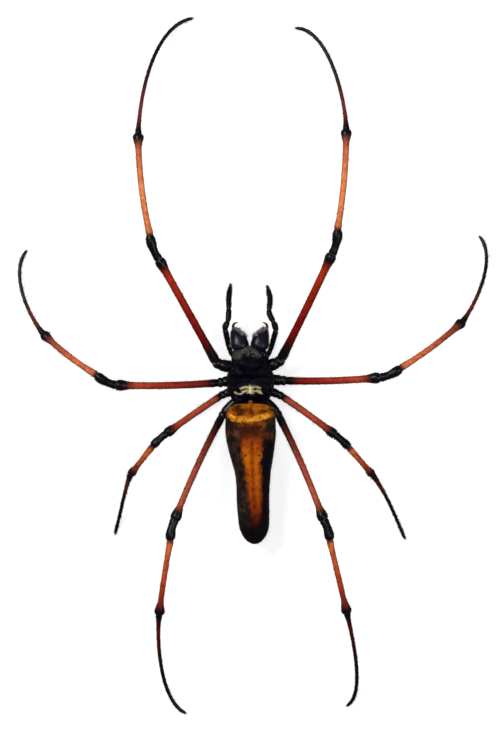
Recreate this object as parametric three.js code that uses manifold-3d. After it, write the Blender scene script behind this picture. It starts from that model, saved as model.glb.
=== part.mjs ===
// A golden silk orb weaver, an adult female standing on its eight feet.
// Millimetres, +Z up, head towards +Y. The origin is on the floor, below the middle of the whole spread.
import * as THREE from "three";
import { mergeVertices } from "three/addons/utils/BufferGeometryUtils.js";
import Module from "manifold-3d";

const wasm = await Module();
wasm.setup();

// Spread of the legs: the body lies a little off its middle.
const BODY_SHIFT_X = -0.6;
const BODY_SHIFT_Y = 0.2;

// Gaps between neighbouring pieces.
const JOINT_GAP = 0.3;
const EYE_GAP = 0.12;

// Fineness of the round forms, as sides round a section.
const LIMB_SIDES = 10;
const FOOT_SIDES = 8;
const BODY_SIDES = 24;
const EYE_SIDES = 8;

// Carapace: the shield over head and thorax, its margin, and what hangs below the margin.
const CARAPACE_FRONT = 3.6;
const CARAPACE_REAR = -8.55;
const CARAPACE_MARGIN_Z = 6.6;
const CARAPACE_UNDER_Z = 5.6;
const CARAPACE_ROUND = 2.3; // exponent of its section, 2 for an ellipse
const CARAPACE_STEPS = 22;
const CARAPACE_REAR_ROUND = 1.6; // lengths over which its two ends round off
const CARAPACE_FRONT_ROUND = 0.9;
const CARAPACE_END_HALF = 0.72; // share of its width left where an end has closed
const CARAPACE_END_RISE = 0.9; // height of a closed end above the margin
const HEAD_TURN = -0.18; // the head's front is turned a little to the left
const HEAD_TURN_START = -1.0;
const HEAD_CREASE_DEPTH = 0.32; // the V of the cervical grooves behind the head
const HEAD_CREASE_WIDTH = 2.0;
const HEAD_CREASE_SLOPE = 0.95; // how far forward an arm of the V runs for each step outwards
const HEAD_CREASE_END = 4.3; // where the arms fade out, from the midline
const FOVEA_Y = -3.4; // where both arms of the V meet
const HORN_X = 0.85; // the pair of small humps on the rear slope of the head
const HORN_Y = -2.2;
const HORN_HALF = 0.42;
const HORN_TALL = 1.1;

// Eyes: two rows of four, the middle ones on the head's front slope, the side ones paired on knobs.
const EYES = {
  eye_front_middle: { x: 0.5, y: 3.0, half: 0.27 },
  eye_rear_middle: { x: 0.62, y: 2.1, half: 0.24 },
  eye_front_side: { x: 3.0, y: 2.85, half: 0.21 },
  eye_rear_side: { x: 3.3, y: 2.3, half: 0.21 },
};
const EYE_SUNK = 0.35; // share of its half size that an eye lies below the skin

// Sternum plate between the legs, with the lip and the two jaw lobes in front of it.
const STERNUM_FRONT = 0.9;
const STERNUM_REAR = -8.3;
const STERNUM_HALVES = [[-8.3, 0.9], [-7.2, 1.5], [-5, 2.5], [-2.6, 2.9], [-0.6, 2.6], [0.9, 1.7]];
const STERNUM_UNDER_Z = 3.7;
const STERNUM_TOP_Z = 5.2;
const STERNUM_EDGE_Z = 4.65; // height of its sharpest rim
const STERNUM_ROUND = 3;
const STERNUM_STEPS = 14;
const STERNUM_SIDES = 20;
const MOUTH_Z = 4.45;
const LIP = { x: 0, y: 1.6, half: 0.75, stretch: [1, 1.27, 0.9] };
const LOBE = { x: 1.45, y: 1.8, half: 0.95, stretch: [0.85, 1.37, 0.72] };

// Waist between thorax and abdomen.
const WAIST_HALF = 0.85;
const WAIST_SHAPE = [[0, 0.7], [0.13, 0.95], [0.5, 1], [0.87, 0.95], [1, 0.7]]; // shares of length and half
const WAIST_SIDES = 12;
const WAIST_START = [0, -7.5, 6.9];
const WAIST_END = [0, -10.1, 7.5];

// Abdomen: a long bag, widest near the front, that ends past the spinnerets.
const ABDOMEN_FRONT = -8.85;
const ABDOMEN_REAR = -41.2;
const ABDOMEN_FRONT_ROUND = 3.4;
const ABDOMEN_SHOULDER = 3.6; // power of that rounding as seen from above, 2 being a quarter circle
const ABDOMEN_REAR_ROUND = 5.0;
const ABDOMEN_ROUND = 2.2;
const ABDOMEN_STEPS = 24;

// Spinnerets: three pairs of short cones on a low mound below the abdomen's rear.
const SPINNERET_Y = -35.6;
const SPINNERET_X = 0.7;
const SPINNERET_ROOT_Z = 3.5;
const SPINNERET_SUNK = 0.2;
const SPINNERET_MOUND = { half: 1.35, stretch: [1, 1.1, 0.55] };
const SPINNERET_LEAN = [0.1, -0.35]; // how far a cone's tip lies outwards and forwards of its root
const SPINNERET_SIDES = 8;
const SPINNERET_CONES = [
  { x: 0.75, y: 0.75, half: 0.5, long: 1.3 },
  { x: 0.4, y: -0.05, half: 0.3, long: 0.9 },
  { x: 0.7, y: -0.85, half: 0.42, long: 1.2 },
];
const CONE_SHAPE = [[1, 0], [0.85, 0.6], [0.35, 1]]; // share of half width, of length

// Jaws: stout chelicerae that spread forwards and down, with their fangs half open.
const CHELICERA_BASE = [2.38, 3.3, 6.95];
const CHELICERA_BEND = [2.42, 6.3, 6.9];
const CHELICERA_END = [3.28, 8.4, 5.0];
const CHELICERA_HALF = 1.94;
const CHELICERA_TALL = 0.86; // height of its section over its outer half width
const CHELICERA_SHIFT = { left: -0.06, right: -0.3 };
const CHELICERA_SIDES = 16;
// Share of length, and outer and inner half width: the inner edge is cut off slantwise towards the fang.
const CHELICERA_SHAPE = [[0, 0.6, 0.55], [0.05, 0.8, 0.78], [0.12, 0.96, 0.98], [0.23, 1.03, 1.05],
  [0.45, 1, 0.94], [0.54, 0.96, 0.84], [0.66, 0.89, 0.56], [0.78, 0.81, 0.3], [0.9, 0.68, 0.11],
  [0.97, 0.42, 0.05], [1, 0.2, 0.04]];
const FANG_PLACES = [[3.55, 8.0, 4.55], [3.95, 8.75, 4.5], [3.75, 9.45, 4.1], [2.75, 9.95, 3.2]];
const FANG_SHIFT = 0.5; // share of its jaw's shift that a fang follows
const FANG_HALF = 0.42;
const FANG_BASE = [[0, 0.34], [0.3, FANG_HALF]];
const FANG_TIP = [[0, 0.06], [0.25, 0.12]];
const FANG_STEPS = 6;
const FANG_SIDES = 8;

// Colours and finish of each kind of part.
const FINISHES = {
  shell: { color: 0x17161b, roughness: 0.45 },
  gold: { color: 0x9a5c1c, roughness: 0.6 },
  eye: { color: 0x050507, roughness: 0.08 },
  fang: { color: 0x4a120c, roughness: 0.25 },
  femur: { color: 0x8e2a1c, roughness: 0.4 },
  tibia: { color: 0xc9663a, roughness: 0.4 },
  foot: { color: 0x3a1512, roughness: 0.5 },
};

// Half thicknesses of each pair of legs, and how far before the femur's base the coxa points its way.
const LEG_PAIRS = {
  1: {
    coxa: 1.4, lead: 1.2, root: 1.14, femur: 0.89, knee: 1.3, neck: 1.0, patella: 1.18,
    tibia: 0.7, ankle: 1.3, foot: 0.43,
  },
  2: {
    coxa: 1.22, lead: 1.2, root: 0.93, femur: 0.83, knee: 1.29, neck: 1.0, patella: 1.15,
    tibia: 0.68, ankle: 1.22, foot: 0.41,
  },
  3: {
    coxa: 1.0, lead: 1.4, root: 0.82, femur: 0.75, knee: 1.14, neck: 0.89, patella: 0.99,
    tibia: 0.61, ankle: 1.0, foot: 0.4,
  },
  4: {
    coxa: 1.1, lead: 2.6, root: 0.9, femur: 0.74, knee: 1.28, neck: 1.05, patella: 1.17,
    tibia: 0.64, ankle: 1.24, foot: 0.43,
  },
};

// Outlines of a leg's segments: millimetres from the near end, or back from the far one, then a half
// thickness of the leg and the share of it that holds there. Steps divide the shaft between the two ends.
const SEGMENT_SHAPES = {
  coxa: {
    base: [[0, "coxa", 0.45], [0.25, "coxa", 0.8], [0.8, "coxa", 1]],
    steps: 2,
    end: [[0, "coxa", 0.8], [0.5, "coxa", 0.9], [1.1, "coxa", 0.84], [1.7, "coxa", 0.96]],
  },
  femur: {
    base: [[0, "root", 0.88], [0.6, "root", 1], [2.8, "root", 0.93]],
    steps: 5,
    end: [[0, "knee", 0.84], [0.7, "knee", 1], [1.3, "knee", 0.97], [2.3, "knee", 0.82], [3.4, "femur", 1.04],
      [6.2, "femur", 1]],
  },
  tibia: {
    base: [[0, "tibia", 1.12], [0.5, "tibia", 1.2], [1.5, "tibia", 1.12], [4, "tibia", 1]],
    steps: 4,
    end: [[0, "ankle", 0.72], [0.7, "ankle", 1], [1.6, "ankle", 0.84], [2.5, "ankle", 0.67],
      [3.6, "tibia", 1]],
  },
  foot: {
    base: [[0, "foot", 1.65], [0.6, "foot", 1.7], [1.6, "foot", 1.35], [3.4, "foot", 1.12], [6, "foot", 1]],
    steps: 11,
    end: [[0, "foot", 0.4], [0.35, "foot", 0.8], [1.6, "foot", 0.92]],
  },
};

// The patella's outline, at shares of its length.
const PATELLA_SHAPE = [[0, "neck", 0.92], [0.1, "neck", 1.02], [0.36, "neck", 0.94], [0.56, "patella", 0.92],
  [0.74, "patella", 1], [0.87, "patella", 0.92], [1, "tibia", 1.15]];

// Each leg's stance: its joints' places, and how far femur, patella and tibia bow to the left of their way.
// A foot leaves the ankle and comes to its tip along the two headings, in degrees from +X, for those reaches.
const LEGS = {
  leg1_left: {
    hip: [-3.0, -0.6, 5.0], base: [-8.0, 0.8, 5.8], knee: [-21.0, 24.2, 14.0], shin: [-23.1, 29.9, 14.5],
    ankle: [-25.8, 53.1, 9.4], tip: [-13.3, 79.9],
    bows: [0, 0.4, 0.65], headings: [88, 10], reaches: [10.1, 8.9],
  },
  leg1_right: {
    hip: [3.0, -0.6, 5.0], base: [7.1, 1.4, 5.8], knee: [18.7, 25.4, 14.0], shin: [20.0, 31.2, 14.5],
    ankle: [22.0, 54.1, 9.2], tip: [10.4, 77.6],
    bows: [-0.12, -0.4, -0.5], headings: [91, 182], reaches: [8.2, 7.1],
  },
  leg2_left: {
    hip: [-3.0, -3.3, 4.9], base: [-7.6, -4.1, 5.6], knee: [-30.9, -4.6, 13.2], shin: [-35.5, -2.2, 13.3],
    ankle: [-47.7, 7.2, 6.6], tip: [-51.6, 26.3],
    bows: [0.35, 0.4, 0.45], headings: [129, 51], reaches: [6.3, 6.1],
  },
  leg2_right: {
    hip: [3.0, -3.2, 4.9], base: [8.3, -3.6, 5.6], knee: [29.7, -2.9, 14.4], shin: [34.6, -0.6, 14.4],
    ankle: [48.8, 10.0, 8.8], tip: [52.8, 29.6],
    bows: [-0.35, -0.4, -0.45], headings: [54, 130], reaches: [6.7, 5.9],
  },
  leg3_left: {
    hip: [-2.9, -5.5, 4.8], base: [-7.0, -7.2, 5.3], knee: [-19.4, -15.8, 11.0], shin: [-22.6, -18.8, 11.2],
    ankle: [-27.6, -25.2, 7.0], tip: [-31.2, -38.9],
    bows: [-0.1, -0.15, 0], headings: [249, 254], reaches: [4.1, 3.8],
  },
  leg3_right: {
    hip: [2.9, -5.5, 4.8], base: [7.4, -7.3, 5.3], knee: [19.5, -16.1, 11.0], shin: [22.7, -19.1, 11.2],
    ankle: [28.1, -25.3, 7.0], tip: [35.6, -40.0],
    bows: [0.15, 0.15, 0], headings: [307, 294], reaches: [5.6, 4.9],
  },
  leg4_left: {
    hip: [-2.4, -7.6, 4.7], base: [-6.7, -12.1, 5.0], knee: [-17.4, -35.6, 13.6], shin: [-18.4, -40.4, 13.9],
    ankle: [-21.0, -57.4, 8.0], tip: [-14.9, -80.2],
    bows: [-0.42, -0.3, -0.15], headings: [264, 337], reaches: [7.1, 6.1],
  },
  leg4_right: {
    hip: [2.4, -7.6, 4.7], base: [6.6, -11.9, 5.0], knee: [16.8, -35.6, 13.6], shin: [18.2, -40.3, 13.9],
    ankle: [22.2, -57.1, 8.0], tip: [22.2, -78.5],
    bows: [0.42, 0.3, 0], headings: [283, 209], reaches: [5.7, 5.1],
  },
};
const FEMUR_ARCH = 1.1; // rise of the middle of a femur above its chord
const TIBIA_ARCH = 0.4;
const FOOT_TIP_Z = 0.24; // height of a foot's axis at its tip, so that its underside is cut flat
const FOOT_LEVEL = [0.6, 0.1]; // heights of the foot's two inner control points, as shares of the ankle's
const MITRE_REACH = 1.3; // length over which a segment's end face tilts into its joint

// Feelers: the places that each runs through, then the outline as millimetres past a joint and share of half.
const PALPS = {
  left: [[-3.7, 1.75, 4.85], [-4.7, 3.4, 5.1], [-5.5, 6.7, 6.5], [-5.82, 8.6, 7.1], [-5.15, 10.4, 7.1],
    [-5.0, 12.9, 6.5], [-4.95, 15.8, 5.5], [-4.55, 18.8, 4.2]],
  right: [[3.6, 1.75, 4.85], [4.52, 3.4, 5.1], [5.4, 6.4, 6.5], [5.8, 8.3, 7.1], [5.15, 10.1, 7.1],
    [4.3, 12.2, 6.5], [4.5, 15.2, 5.5], [3.8, 18.4, 4.2]],
};
const PALP_HALF = 0.6;
const PALP_SIDES = 10;
const PALP_JOINTS = { base: 0, elbow: 0.44, wrist: 0.66, tip: 1 }; // shares of its length
const PALP_SHAPE = [["base", 0, 0.6], ["base", 0.3, 0.88], ["base", 1.2, 0.98], ["base", 1.9, 0.8],
  ["base", 2.6, 0.95], ["elbow", -1.9, 1.04], ["elbow", -1.05, 0.84], ["elbow", 0, 1.16],
  ["elbow", 1, 0.8], ["elbow", 1.9, 1.05], ["wrist", -0.7, 1.06], ["wrist", -0.05, 0.8],
  ["wrist", 0.7, 1], ["tip", -2.6, 0.98], ["tip", -1.2, 0.75], ["tip", -0.3, 0.4], ["tip", 0, 0.2]];

// The floor's slab, far wider than the animal.
const FLOOR_WIDTH = 300;
const FLOOR_DEPTH = 10;

const JAW_SIDES = [["left", -1], ["right", 1]];
const UP = new THREE.Vector3(0, 0, 1);
const vector = (place) => new THREE.Vector3(...place);

// Mesh to solid and back, so that pieces can be joined and cut.
function toSolid(geometry) {
  const bare = geometry.clone();
  bare.deleteAttribute("normal");
  bare.deleteAttribute("uv");
  const merged = mergeVertices(bare, 1e-4);
  const corners = Array.from(merged.index.array);
  const kept = [];
  for (let i = 0; i < corners.length; i += 3) {
    const [a, b, c] = corners.slice(i, i + 3);
    if (a !== b && b !== c && c !== a) kept.push(a, b, c);
  }
  return new wasm.Manifold(new wasm.Mesh({
    numProp: 3,
    vertProperties: merged.attributes.position.array,
    triVerts: new Uint32Array(kept),
  }));
}

function toGeometry(solid) {
  const bodies = solid.decompose().sort((one, other) => other.volume() - one.volume());
  const mesh = bodies[0].getMesh();
  const geometry = new THREE.BufferGeometry();
  geometry.setAttribute("position", new THREE.BufferAttribute(new Float32Array(mesh.vertProperties), 3));
  geometry.setIndex(new THREE.BufferAttribute(new Uint32Array(mesh.triVerts), 1));
  geometry.computeVertexNormals();
  return geometry;
}

// A smooth value along a body, through a few pairs of [place, value].
function smooth(pairs) {
  const places = pairs.map(([place]) => place);
  const values = pairs.map(([, value]) => value);
  const spline = new THREE.CubicInterpolant(places, values, 1);
  return (place) => spline.evaluate(THREE.MathUtils.clamp(place, places[0], places.at(-1)))[0];
}

// A segment's outline as pairs of [distance, half thickness]: its base, a straight shaft, its far end.
// Distances in the end list count back from the far end.
function outline(length, base, steps, end) {
  const [shaftStart, baseHalf] = base.at(-1);
  const [shaftBack, endHalf] = end.at(-1);
  const shaft = [];
  for (let step = 1; step < steps; step += 1) {
    const share = step / steps;
    shaft.push([
      THREE.MathUtils.lerp(shaftStart, length - shaftBack, share),
      THREE.MathUtils.lerp(baseHalf, endHalf, share),
    ]);
  }
  const far = end.map(([back, half]) => [length - back, half]).reverse();
  return [[0, 0], ...base, ...shaft, ...far, [length, 0]];
}

// A limb turned from an outline and bent along a curve, upright so that its section can be taller than wide.
// Its end faces tilt onto planes square to the given normals, and it grows by extra on every side.
// Tall gives its height over its width, and shift its way to the right, both from the distance along.
function limb(curve, profile, options = {}) {
  const { sides = LIMB_SIDES, tall = () => 1, shift = () => 0, normals = [], trim = 0, extra = 0 } = options;
  const whole = curve.getLength();
  const length = profile.at(-1)[0];
  const points = profile.map(([along, half]) => new THREE.Vector2(half > 0 ? half + extra : 0, along));
  const geometry = new THREE.LatheGeometry(points, sides);
  const position = geometry.attributes.position;
  const ends = [0, 1].map((share) => curve.getTangentAt(share));
  for (let index = 0; index < position.count; index += 1) {
    const along = position.getY(index);
    const share = THREE.MathUtils.clamp((along + trim) / whole, 0, 1);
    const way = curve.getTangentAt(share);
    const side = way.clone().cross(UP).normalize();
    const rise = side.clone().cross(way);
    const reach = side.multiplyScalar(position.getX(index) + shift(along));
    reach.addScaledVector(rise, position.getZ(index) * tall(along));
    const place = curve.getPointAt(share).add(reach);
    [along, length - along].forEach((distance, end) => {
      if (normals[end] && distance < MITRE_REACH) {
        const slide = -reach.dot(normals[end]) / ends[end].dot(normals[end]);
        place.addScaledVector(way, slide * (1 - distance / MITRE_REACH));
      }
    });
    if (extra > 0) place.addScaledVector(way, extra * (2 * along / length - 1));
    position.setXYZ(index, place.x, place.y, place.z);
  }
  return geometry;
}

// A body's skin round the Y axis: at each step a section of given half width, top, bottom and middle.
function skin({ front, rear, steps, sides, round, section, relief = () => 0 }) {
  const points = [new THREE.Vector2(0, 0)];
  for (let step = 1; step < steps; step += 1) {
    points.push(new THREE.Vector2(1, (1 - Math.cos(Math.PI * step / steps)) / 2));
  }
  points.push(new THREE.Vector2(0, 1));
  const geometry = new THREE.LatheGeometry(points, sides);
  const position = geometry.attributes.position;
  for (let index = 0; index < position.count; index += 1) {
    const y = THREE.MathUtils.lerp(rear, front, position.getY(index));
    const across = position.getX(index);
    const upward = position.getZ(index);
    const onAxis = across === 0 && upward === 0;
    const { half, top, bottom, margin, middle } = section(y);
    const bend = (value) => Math.sign(value) * Math.abs(value) ** (2 / round);
    const x = onAxis ? middle : middle + half * bend(across);
    const height = onAxis ? 0 : bend(upward);
    const z = margin + height * (height > 0 ? top - margin : margin - bottom);
    position.setXYZ(index, x, y, z - (upward > 0 ? relief(x, y) : 0));
  }
  return geometry;
}

function ball(place, half, stretch = [1, 1, 1]) {
  const geometry = new THREE.SphereGeometry(half, EYE_SIDES, EYE_SIDES / 2 + 1);
  return geometry.scale(...stretch).translate(...place);
}

// A rise from 0 at start to 1 at end, as a quarter of a circle, or squarer with a higher power.
function grown(place, start, end, power = 2) {
  const share = THREE.MathUtils.clamp((place - start) / (end - start), 0, 1);
  return (1 - (1 - share) ** power) ** (1 / power);
}

// The carapace seen from above, its ridge line, and the dents that mark the head off the thorax.
const carapaceHalf = smooth([[-8.5, 4.0], [-7.4, 4.6], [-5.6, 5.3], [-3.6, 5.55], [-2.2, 5.35], [-1.0, 4.75],
  [0.2, 4.4], [2.0, 4.25], [3.6, 4.0]]);
const carapaceTop = smooth([[-8.5, 7.7], [-7.2, 8.9], [-5.0, 9.9], [-3.4, 10.1], [-1.8, 10.9], [0, 11.2],
  [1.6, 10.6], [2.8, 9.6], [3.6, 8.7]]);

function carapaceSection(y) {
  const rear = grown(y, CARAPACE_REAR, CARAPACE_REAR + CARAPACE_REAR_ROUND);
  const rounding = rear * grown(-y, -CARAPACE_FRONT, -CARAPACE_FRONT + CARAPACE_FRONT_ROUND);
  const turned = THREE.MathUtils.clamp((y - HEAD_TURN_START) / (CARAPACE_FRONT - HEAD_TURN_START), 0, 1);
  return {
    half: carapaceHalf(y) * THREE.MathUtils.lerp(CARAPACE_END_HALF, 1, rounding) * Math.min(1, rounding * 4),
    top: THREE.MathUtils.lerp(
      CARAPACE_MARGIN_Z + CARAPACE_END_RISE, carapaceTop(y), Math.min(1, rounding * 1.2)),
    bottom: CARAPACE_UNDER_Z,
    margin: CARAPACE_MARGIN_Z,
    middle: HEAD_TURN * turned,
  };
}

function carapaceDent(x, y) {
  const arm = Math.abs(y - FOVEA_Y - HEAD_CREASE_SLOPE * Math.abs(x));
  const groove = Math.max(0, 1 - (arm / HEAD_CREASE_WIDTH) ** 2) ** 2;
  const fade = THREE.MathUtils.clamp((HEAD_CREASE_END - Math.abs(x)) / HEAD_CREASE_WIDTH, 0, 1);
  return HEAD_CREASE_DEPTH * groove * fade;
}

function carapaceHeight(x, y) {
  const { half, top, margin, middle } = carapaceSection(y);
  const flat = Math.min(1, Math.abs(x - middle) / half);
  return margin + (top - margin) * (1 - flat ** CARAPACE_ROUND) ** (1 / CARAPACE_ROUND) - carapaceDent(x, y);
}

// The outward direction of the carapace's upper face at a place, from its slopes there.
function carapaceNormal(x, y) {
  const step = 0.05;
  const slopeX = (carapaceHeight(x + step, y) - carapaceHeight(x - step, y)) / (2 * step);
  const slopeY = (carapaceHeight(x, y + step) - carapaceHeight(x, y - step)) / (2 * step);
  return new THREE.Vector3(-slopeX, -slopeY, 1).normalize();
}

function eyePlaces() {
  const places = [];
  for (const [kind, { x, y, half }] of Object.entries(EYES)) {
    for (const side of [-1, 1]) {
      const skinPlace = new THREE.Vector3(side * x, y, carapaceHeight(side * x, y));
      const place = skinPlace.addScaledVector(carapaceNormal(side * x, y), -half * EYE_SUNK);
      places.push({ name: `${kind}_${side < 0 ? "left" : "right"}`, place, half });
    }
  }
  return places;
}

// The pieces of one leg, from its stance and the half thicknesses of its pair.
function legCurves({ hip, base, knee, shin, ankle, tip, bows, headings, reaches }, size) {
  const [hipAt, baseAt, kneeAt, shinAt, ankleAt] = [hip, base, knee, shin, ankle].map(vector);
  const tipAt = new THREE.Vector3(...tip, FOOT_TIP_Z);
  const bowed = (from, to, bow, arch) => {
    const way = to.clone().sub(from);
    const left = new THREE.Vector3(-way.y, way.x, 0).normalize();
    const control = from.clone().add(to).multiplyScalar(0.5);
    control.addScaledVector(left, 2 * bow);
    control.z += 2 * arch;
    return new THREE.QuadraticBezierCurve3(from, control, to);
  };
  const femur = bowed(baseAt, kneeAt, bows[0], FEMUR_ARCH);
  const patella = bowed(kneeAt, shinAt, bows[1], 0);
  const tibia = bowed(shinAt, ankleAt, bows[2], TIBIA_ARCH);
  const lead = baseAt.clone().addScaledVector(femur.getTangentAt(0), -size.lead);
  const coxa = new THREE.QuadraticBezierCurve3(hipAt, lead, baseAt);
  const [away, home] = headings.map((degrees) => {
    const angle = THREE.MathUtils.degToRad(degrees);
    return new THREE.Vector3(Math.cos(angle), Math.sin(angle), 0);
  });
  const leaving = ankleAt.clone().addScaledVector(away, reaches[0]);
  leaving.z = THREE.MathUtils.lerp(FOOT_TIP_Z, ankleAt.z, FOOT_LEVEL[0]);
  const landing = tipAt.clone().addScaledVector(home, -reaches[1]);
  landing.z = THREE.MathUtils.lerp(FOOT_TIP_Z, ankleAt.z, FOOT_LEVEL[1]);
  const foot = new THREE.CubicBezierCurve3(ankleAt, leaving, landing, tipAt);
  return { coxa, femur, patella, tibia, foot };
}

// The plane of a joint is square to the mean of the two ways that meet there.
function jointNormal(before, after) {
  return before.getTangentAt(1).add(after.getTangentAt(0)).normalize();
}

const trimmed = (curve) => curve.getLength() - JOINT_GAP;

// A segment's outline at its full length, from its shape and the half thicknesses of its pair.
function segmentOutline(length, { base, steps, end }, size) {
  const sized = (shape) => shape.map(([along, key, share]) => [along, share * size[key]]);
  return outline(length, sized(base), steps, sized(end));
}

function coxaGeometry(curves, size, extra = 0) {
  const profile = segmentOutline(curves.coxa.getLength() - JOINT_GAP / 2, SEGMENT_SHAPES.coxa, size);
  return limb(curves.coxa, profile, { normals: [null, jointNormal(curves.coxa, curves.femur)], extra });
}

function legGeometries(curves, size) {
  const joints = {
    hip: jointNormal(curves.coxa, curves.femur),
    knee: jointNormal(curves.femur, curves.patella),
    shin: jointNormal(curves.patella, curves.tibia),
    ankle: jointNormal(curves.tibia, curves.foot),
  };
  const trim = JOINT_GAP / 2;
  const femur = segmentOutline(trimmed(curves.femur), SEGMENT_SHAPES.femur, size);
  const patellaLength = trimmed(curves.patella);
  const shaft = PATELLA_SHAPE.map(([along, key, share]) => [along * patellaLength, share * size[key]]);
  const patella = [[0, 0], ...shaft, [patellaLength, 0]];
  const tibia = segmentOutline(trimmed(curves.tibia), SEGMENT_SHAPES.tibia, size);
  const foot = segmentOutline(curves.foot.getLength() - trim, SEGMENT_SHAPES.foot, size);
  return {
    femur: limb(curves.femur, femur, { trim, normals: [joints.hip, joints.knee] }),
    patella: limb(curves.patella, patella, { trim, normals: [joints.knee, joints.shin] }),
    tibia: limb(curves.tibia, tibia, { trim, normals: [joints.shin, joints.ankle] }),
    foot: limb(curves.foot, foot, { trim, sides: FOOT_SIDES, normals: [joints.ankle] }),
  };
}

// Everything below the floor, to cut the feet flat.
function belowFloor() {
  const slab = new THREE.BoxGeometry(FLOOR_WIDTH, FLOOR_WIDTH, FLOOR_DEPTH);
  return toSolid(slab.translate(0, 0, -FLOOR_DEPTH / 2));
}

// The jaw on one side, +1 for the right one; its inner edge is nearer to its axis than its outer one.
function cheliceraGeometry(name, side, extra = 0) {
  const places = [CHELICERA_BASE, CHELICERA_BEND, CHELICERA_END];
  const curve = new THREE.QuadraticBezierCurve3(
    ...places.map(([x, y, z]) => new THREE.Vector3(side * x + CHELICERA_SHIFT[name], y, z)));
  const length = curve.getLength();
  const edge = (column) => {
    const spline = new THREE.LinearInterpolant(
      CHELICERA_SHAPE.map(([share]) => share), CHELICERA_SHAPE.map((row) => row[column]), 1);
    return (along) => CHELICERA_HALF * spline.evaluate(THREE.MathUtils.clamp(along / length, 0, 1))[0];
  };
  const [outer, inner] = [edge(1), edge(2)];
  const half = (along) => (outer(along) + inner(along)) / 2;
  const middle = CHELICERA_SHAPE.map(([share]) => [share * length, half(share * length)]);
  return limb(curve, [[0, 0], ...middle, [length, 0]], {
    sides: CHELICERA_SIDES,
    tall: (along) => CHELICERA_TALL * outer(along) / half(along),
    shift: (along) => side * (outer(along) - inner(along)) / 2,
    extra,
  });
}

function fangGeometry(name, side, extra = 0) {
  const shift = FANG_SHIFT * CHELICERA_SHIFT[name];
  const curve = new THREE.CatmullRomCurve3(
    FANG_PLACES.map(([x, y, z]) => new THREE.Vector3(side * x + shift, y, z)));
  const profile = outline(curve.getLength(), FANG_BASE, FANG_STEPS, FANG_TIP);
  return limb(curve, profile, { sides: FANG_SIDES, extra });
}

function palpGeometry(places) {
  const curve = new THREE.CatmullRomCurve3(places.map(vector), false, "centripetal");
  const length = curve.getLength();
  const shaft = PALP_SHAPE.map(
    ([joint, past, share]) => [PALP_JOINTS[joint] * length + past, share * PALP_HALF]);
  return limb(curve, [[0, 0], ...shaft, [length, 0]], { sides: PALP_SIDES });
}

function sternumSolid() {
  const half = smooth(STERNUM_HALVES);
  const rounding = (y) => grown(y, STERNUM_REAR - 0.3, STERNUM_REAR + 1)
    * grown(-y, -STERNUM_FRONT - 0.3, -STERNUM_FRONT + 0.8);
  const plate = skin({
    front: STERNUM_FRONT,
    rear: STERNUM_REAR,
    steps: STERNUM_STEPS,
    sides: STERNUM_SIDES,
    round: STERNUM_ROUND,
    section: (y) => ({
      half: half(y) * rounding(y),
      top: STERNUM_TOP_Z,
      bottom: STERNUM_UNDER_Z,
      margin: STERNUM_EDGE_Z,
      middle: 0,
    }),
  });
  let whole = toSolid(plate).add(toSolid(ball([LIP.x, LIP.y, MOUTH_Z], LIP.half, LIP.stretch)));
  for (const side of [-1, 1]) {
    whole = whole.add(toSolid(ball([side * LOBE.x, LOBE.y, MOUTH_Z], LOBE.half, LOBE.stretch)));
  }
  return whole;
}

// The abdomen seen from above and from the side.
const abdomenHalf = smooth([[-41.2, 3.3], [-36.7, 3.5], [-33, 3.68], [-28.6, 3.78], [-25.2, 4.05],
  [-21.7, 4.78], [-18.3, 5.45], [-15.5, 5.8], [-12.5, 5.75], [-8.95, 5.2]]);
const abdomenTop = smooth([[-41.2, 8.4], [-38, 9.1], [-33, 9.8], [-27, 10.6], [-21, 11.8], [-16, 12.7],
  [-12, 12.6], [-8.95, 11.8]]);
const abdomenBottom = smooth([[-41.2, 4.4], [-38, 3.2], [-33, 2.7], [-26, 2.6], [-20, 2.9], [-16, 3.7],
  [-12.5, 5.6], [-8.95, 7.0]]);
const abdomenMiddle = smooth([[-41.2, 0.95], [-36, 0.78], [-31, 0.58], [-26.5, 0.58], [-22.5, 0.38],
  [-17.5, 0.1], [-13, 0], [-8.95, 0]]);

function abdomenSection(y) {
  const start = grown(-y, -ABDOMEN_FRONT, -ABDOMEN_FRONT + ABDOMEN_FRONT_ROUND);
  const shoulder = grown(-y, -ABDOMEN_FRONT, -ABDOMEN_FRONT + ABDOMEN_FRONT_ROUND, ABDOMEN_SHOULDER);
  const end = grown(y, ABDOMEN_REAR, ABDOMEN_REAR + ABDOMEN_REAR_ROUND);
  const top = abdomenTop(y);
  const bottom = abdomenBottom(y);
  const margin = (top + bottom) / 2;
  return {
    half: abdomenHalf(y) * shoulder * end,
    top: margin + (top - margin) * start * end,
    bottom: margin - (margin - bottom) * start * end,
    margin,
    middle: abdomenMiddle(y),
  };
}

function spinneretSolid(extra = 0) {
  const middle = abdomenMiddle(SPINNERET_Y);
  const { half: moundHalf, stretch } = SPINNERET_MOUND;
  let whole = toSolid(ball([middle, SPINNERET_Y, SPINNERET_ROOT_Z], moundHalf + extra, stretch));
  for (const { x, y, half, long } of SPINNERET_CONES) {
    for (const side of [-1, 1]) {
      const root = new THREE.Vector3(
        middle + side * x * SPINNERET_X, SPINNERET_Y + y, SPINNERET_ROOT_Z - SPINNERET_SUNK);
      const way = new THREE.Vector3(side * SPINNERET_LEAN[0], SPINNERET_LEAN[1], -long);
      const tall = way.length();
      const shape = CONE_SHAPE.map(([share, along]) => new THREE.Vector2(share * half + extra, along * tall));
      const points = [new THREE.Vector2(0, 0), ...shape, new THREE.Vector2(0, tall)];
      const cone = new THREE.LatheGeometry(points, SPINNERET_SIDES);
      cone.applyQuaternion(new THREE.Quaternion().setFromUnitVectors(
        new THREE.Vector3(0, 1, 0), way.clone().normalize()));
      whole = whole.add(toSolid(cone.translate(...root.toArray())));
    }
  }
  return whole;
}

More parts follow.
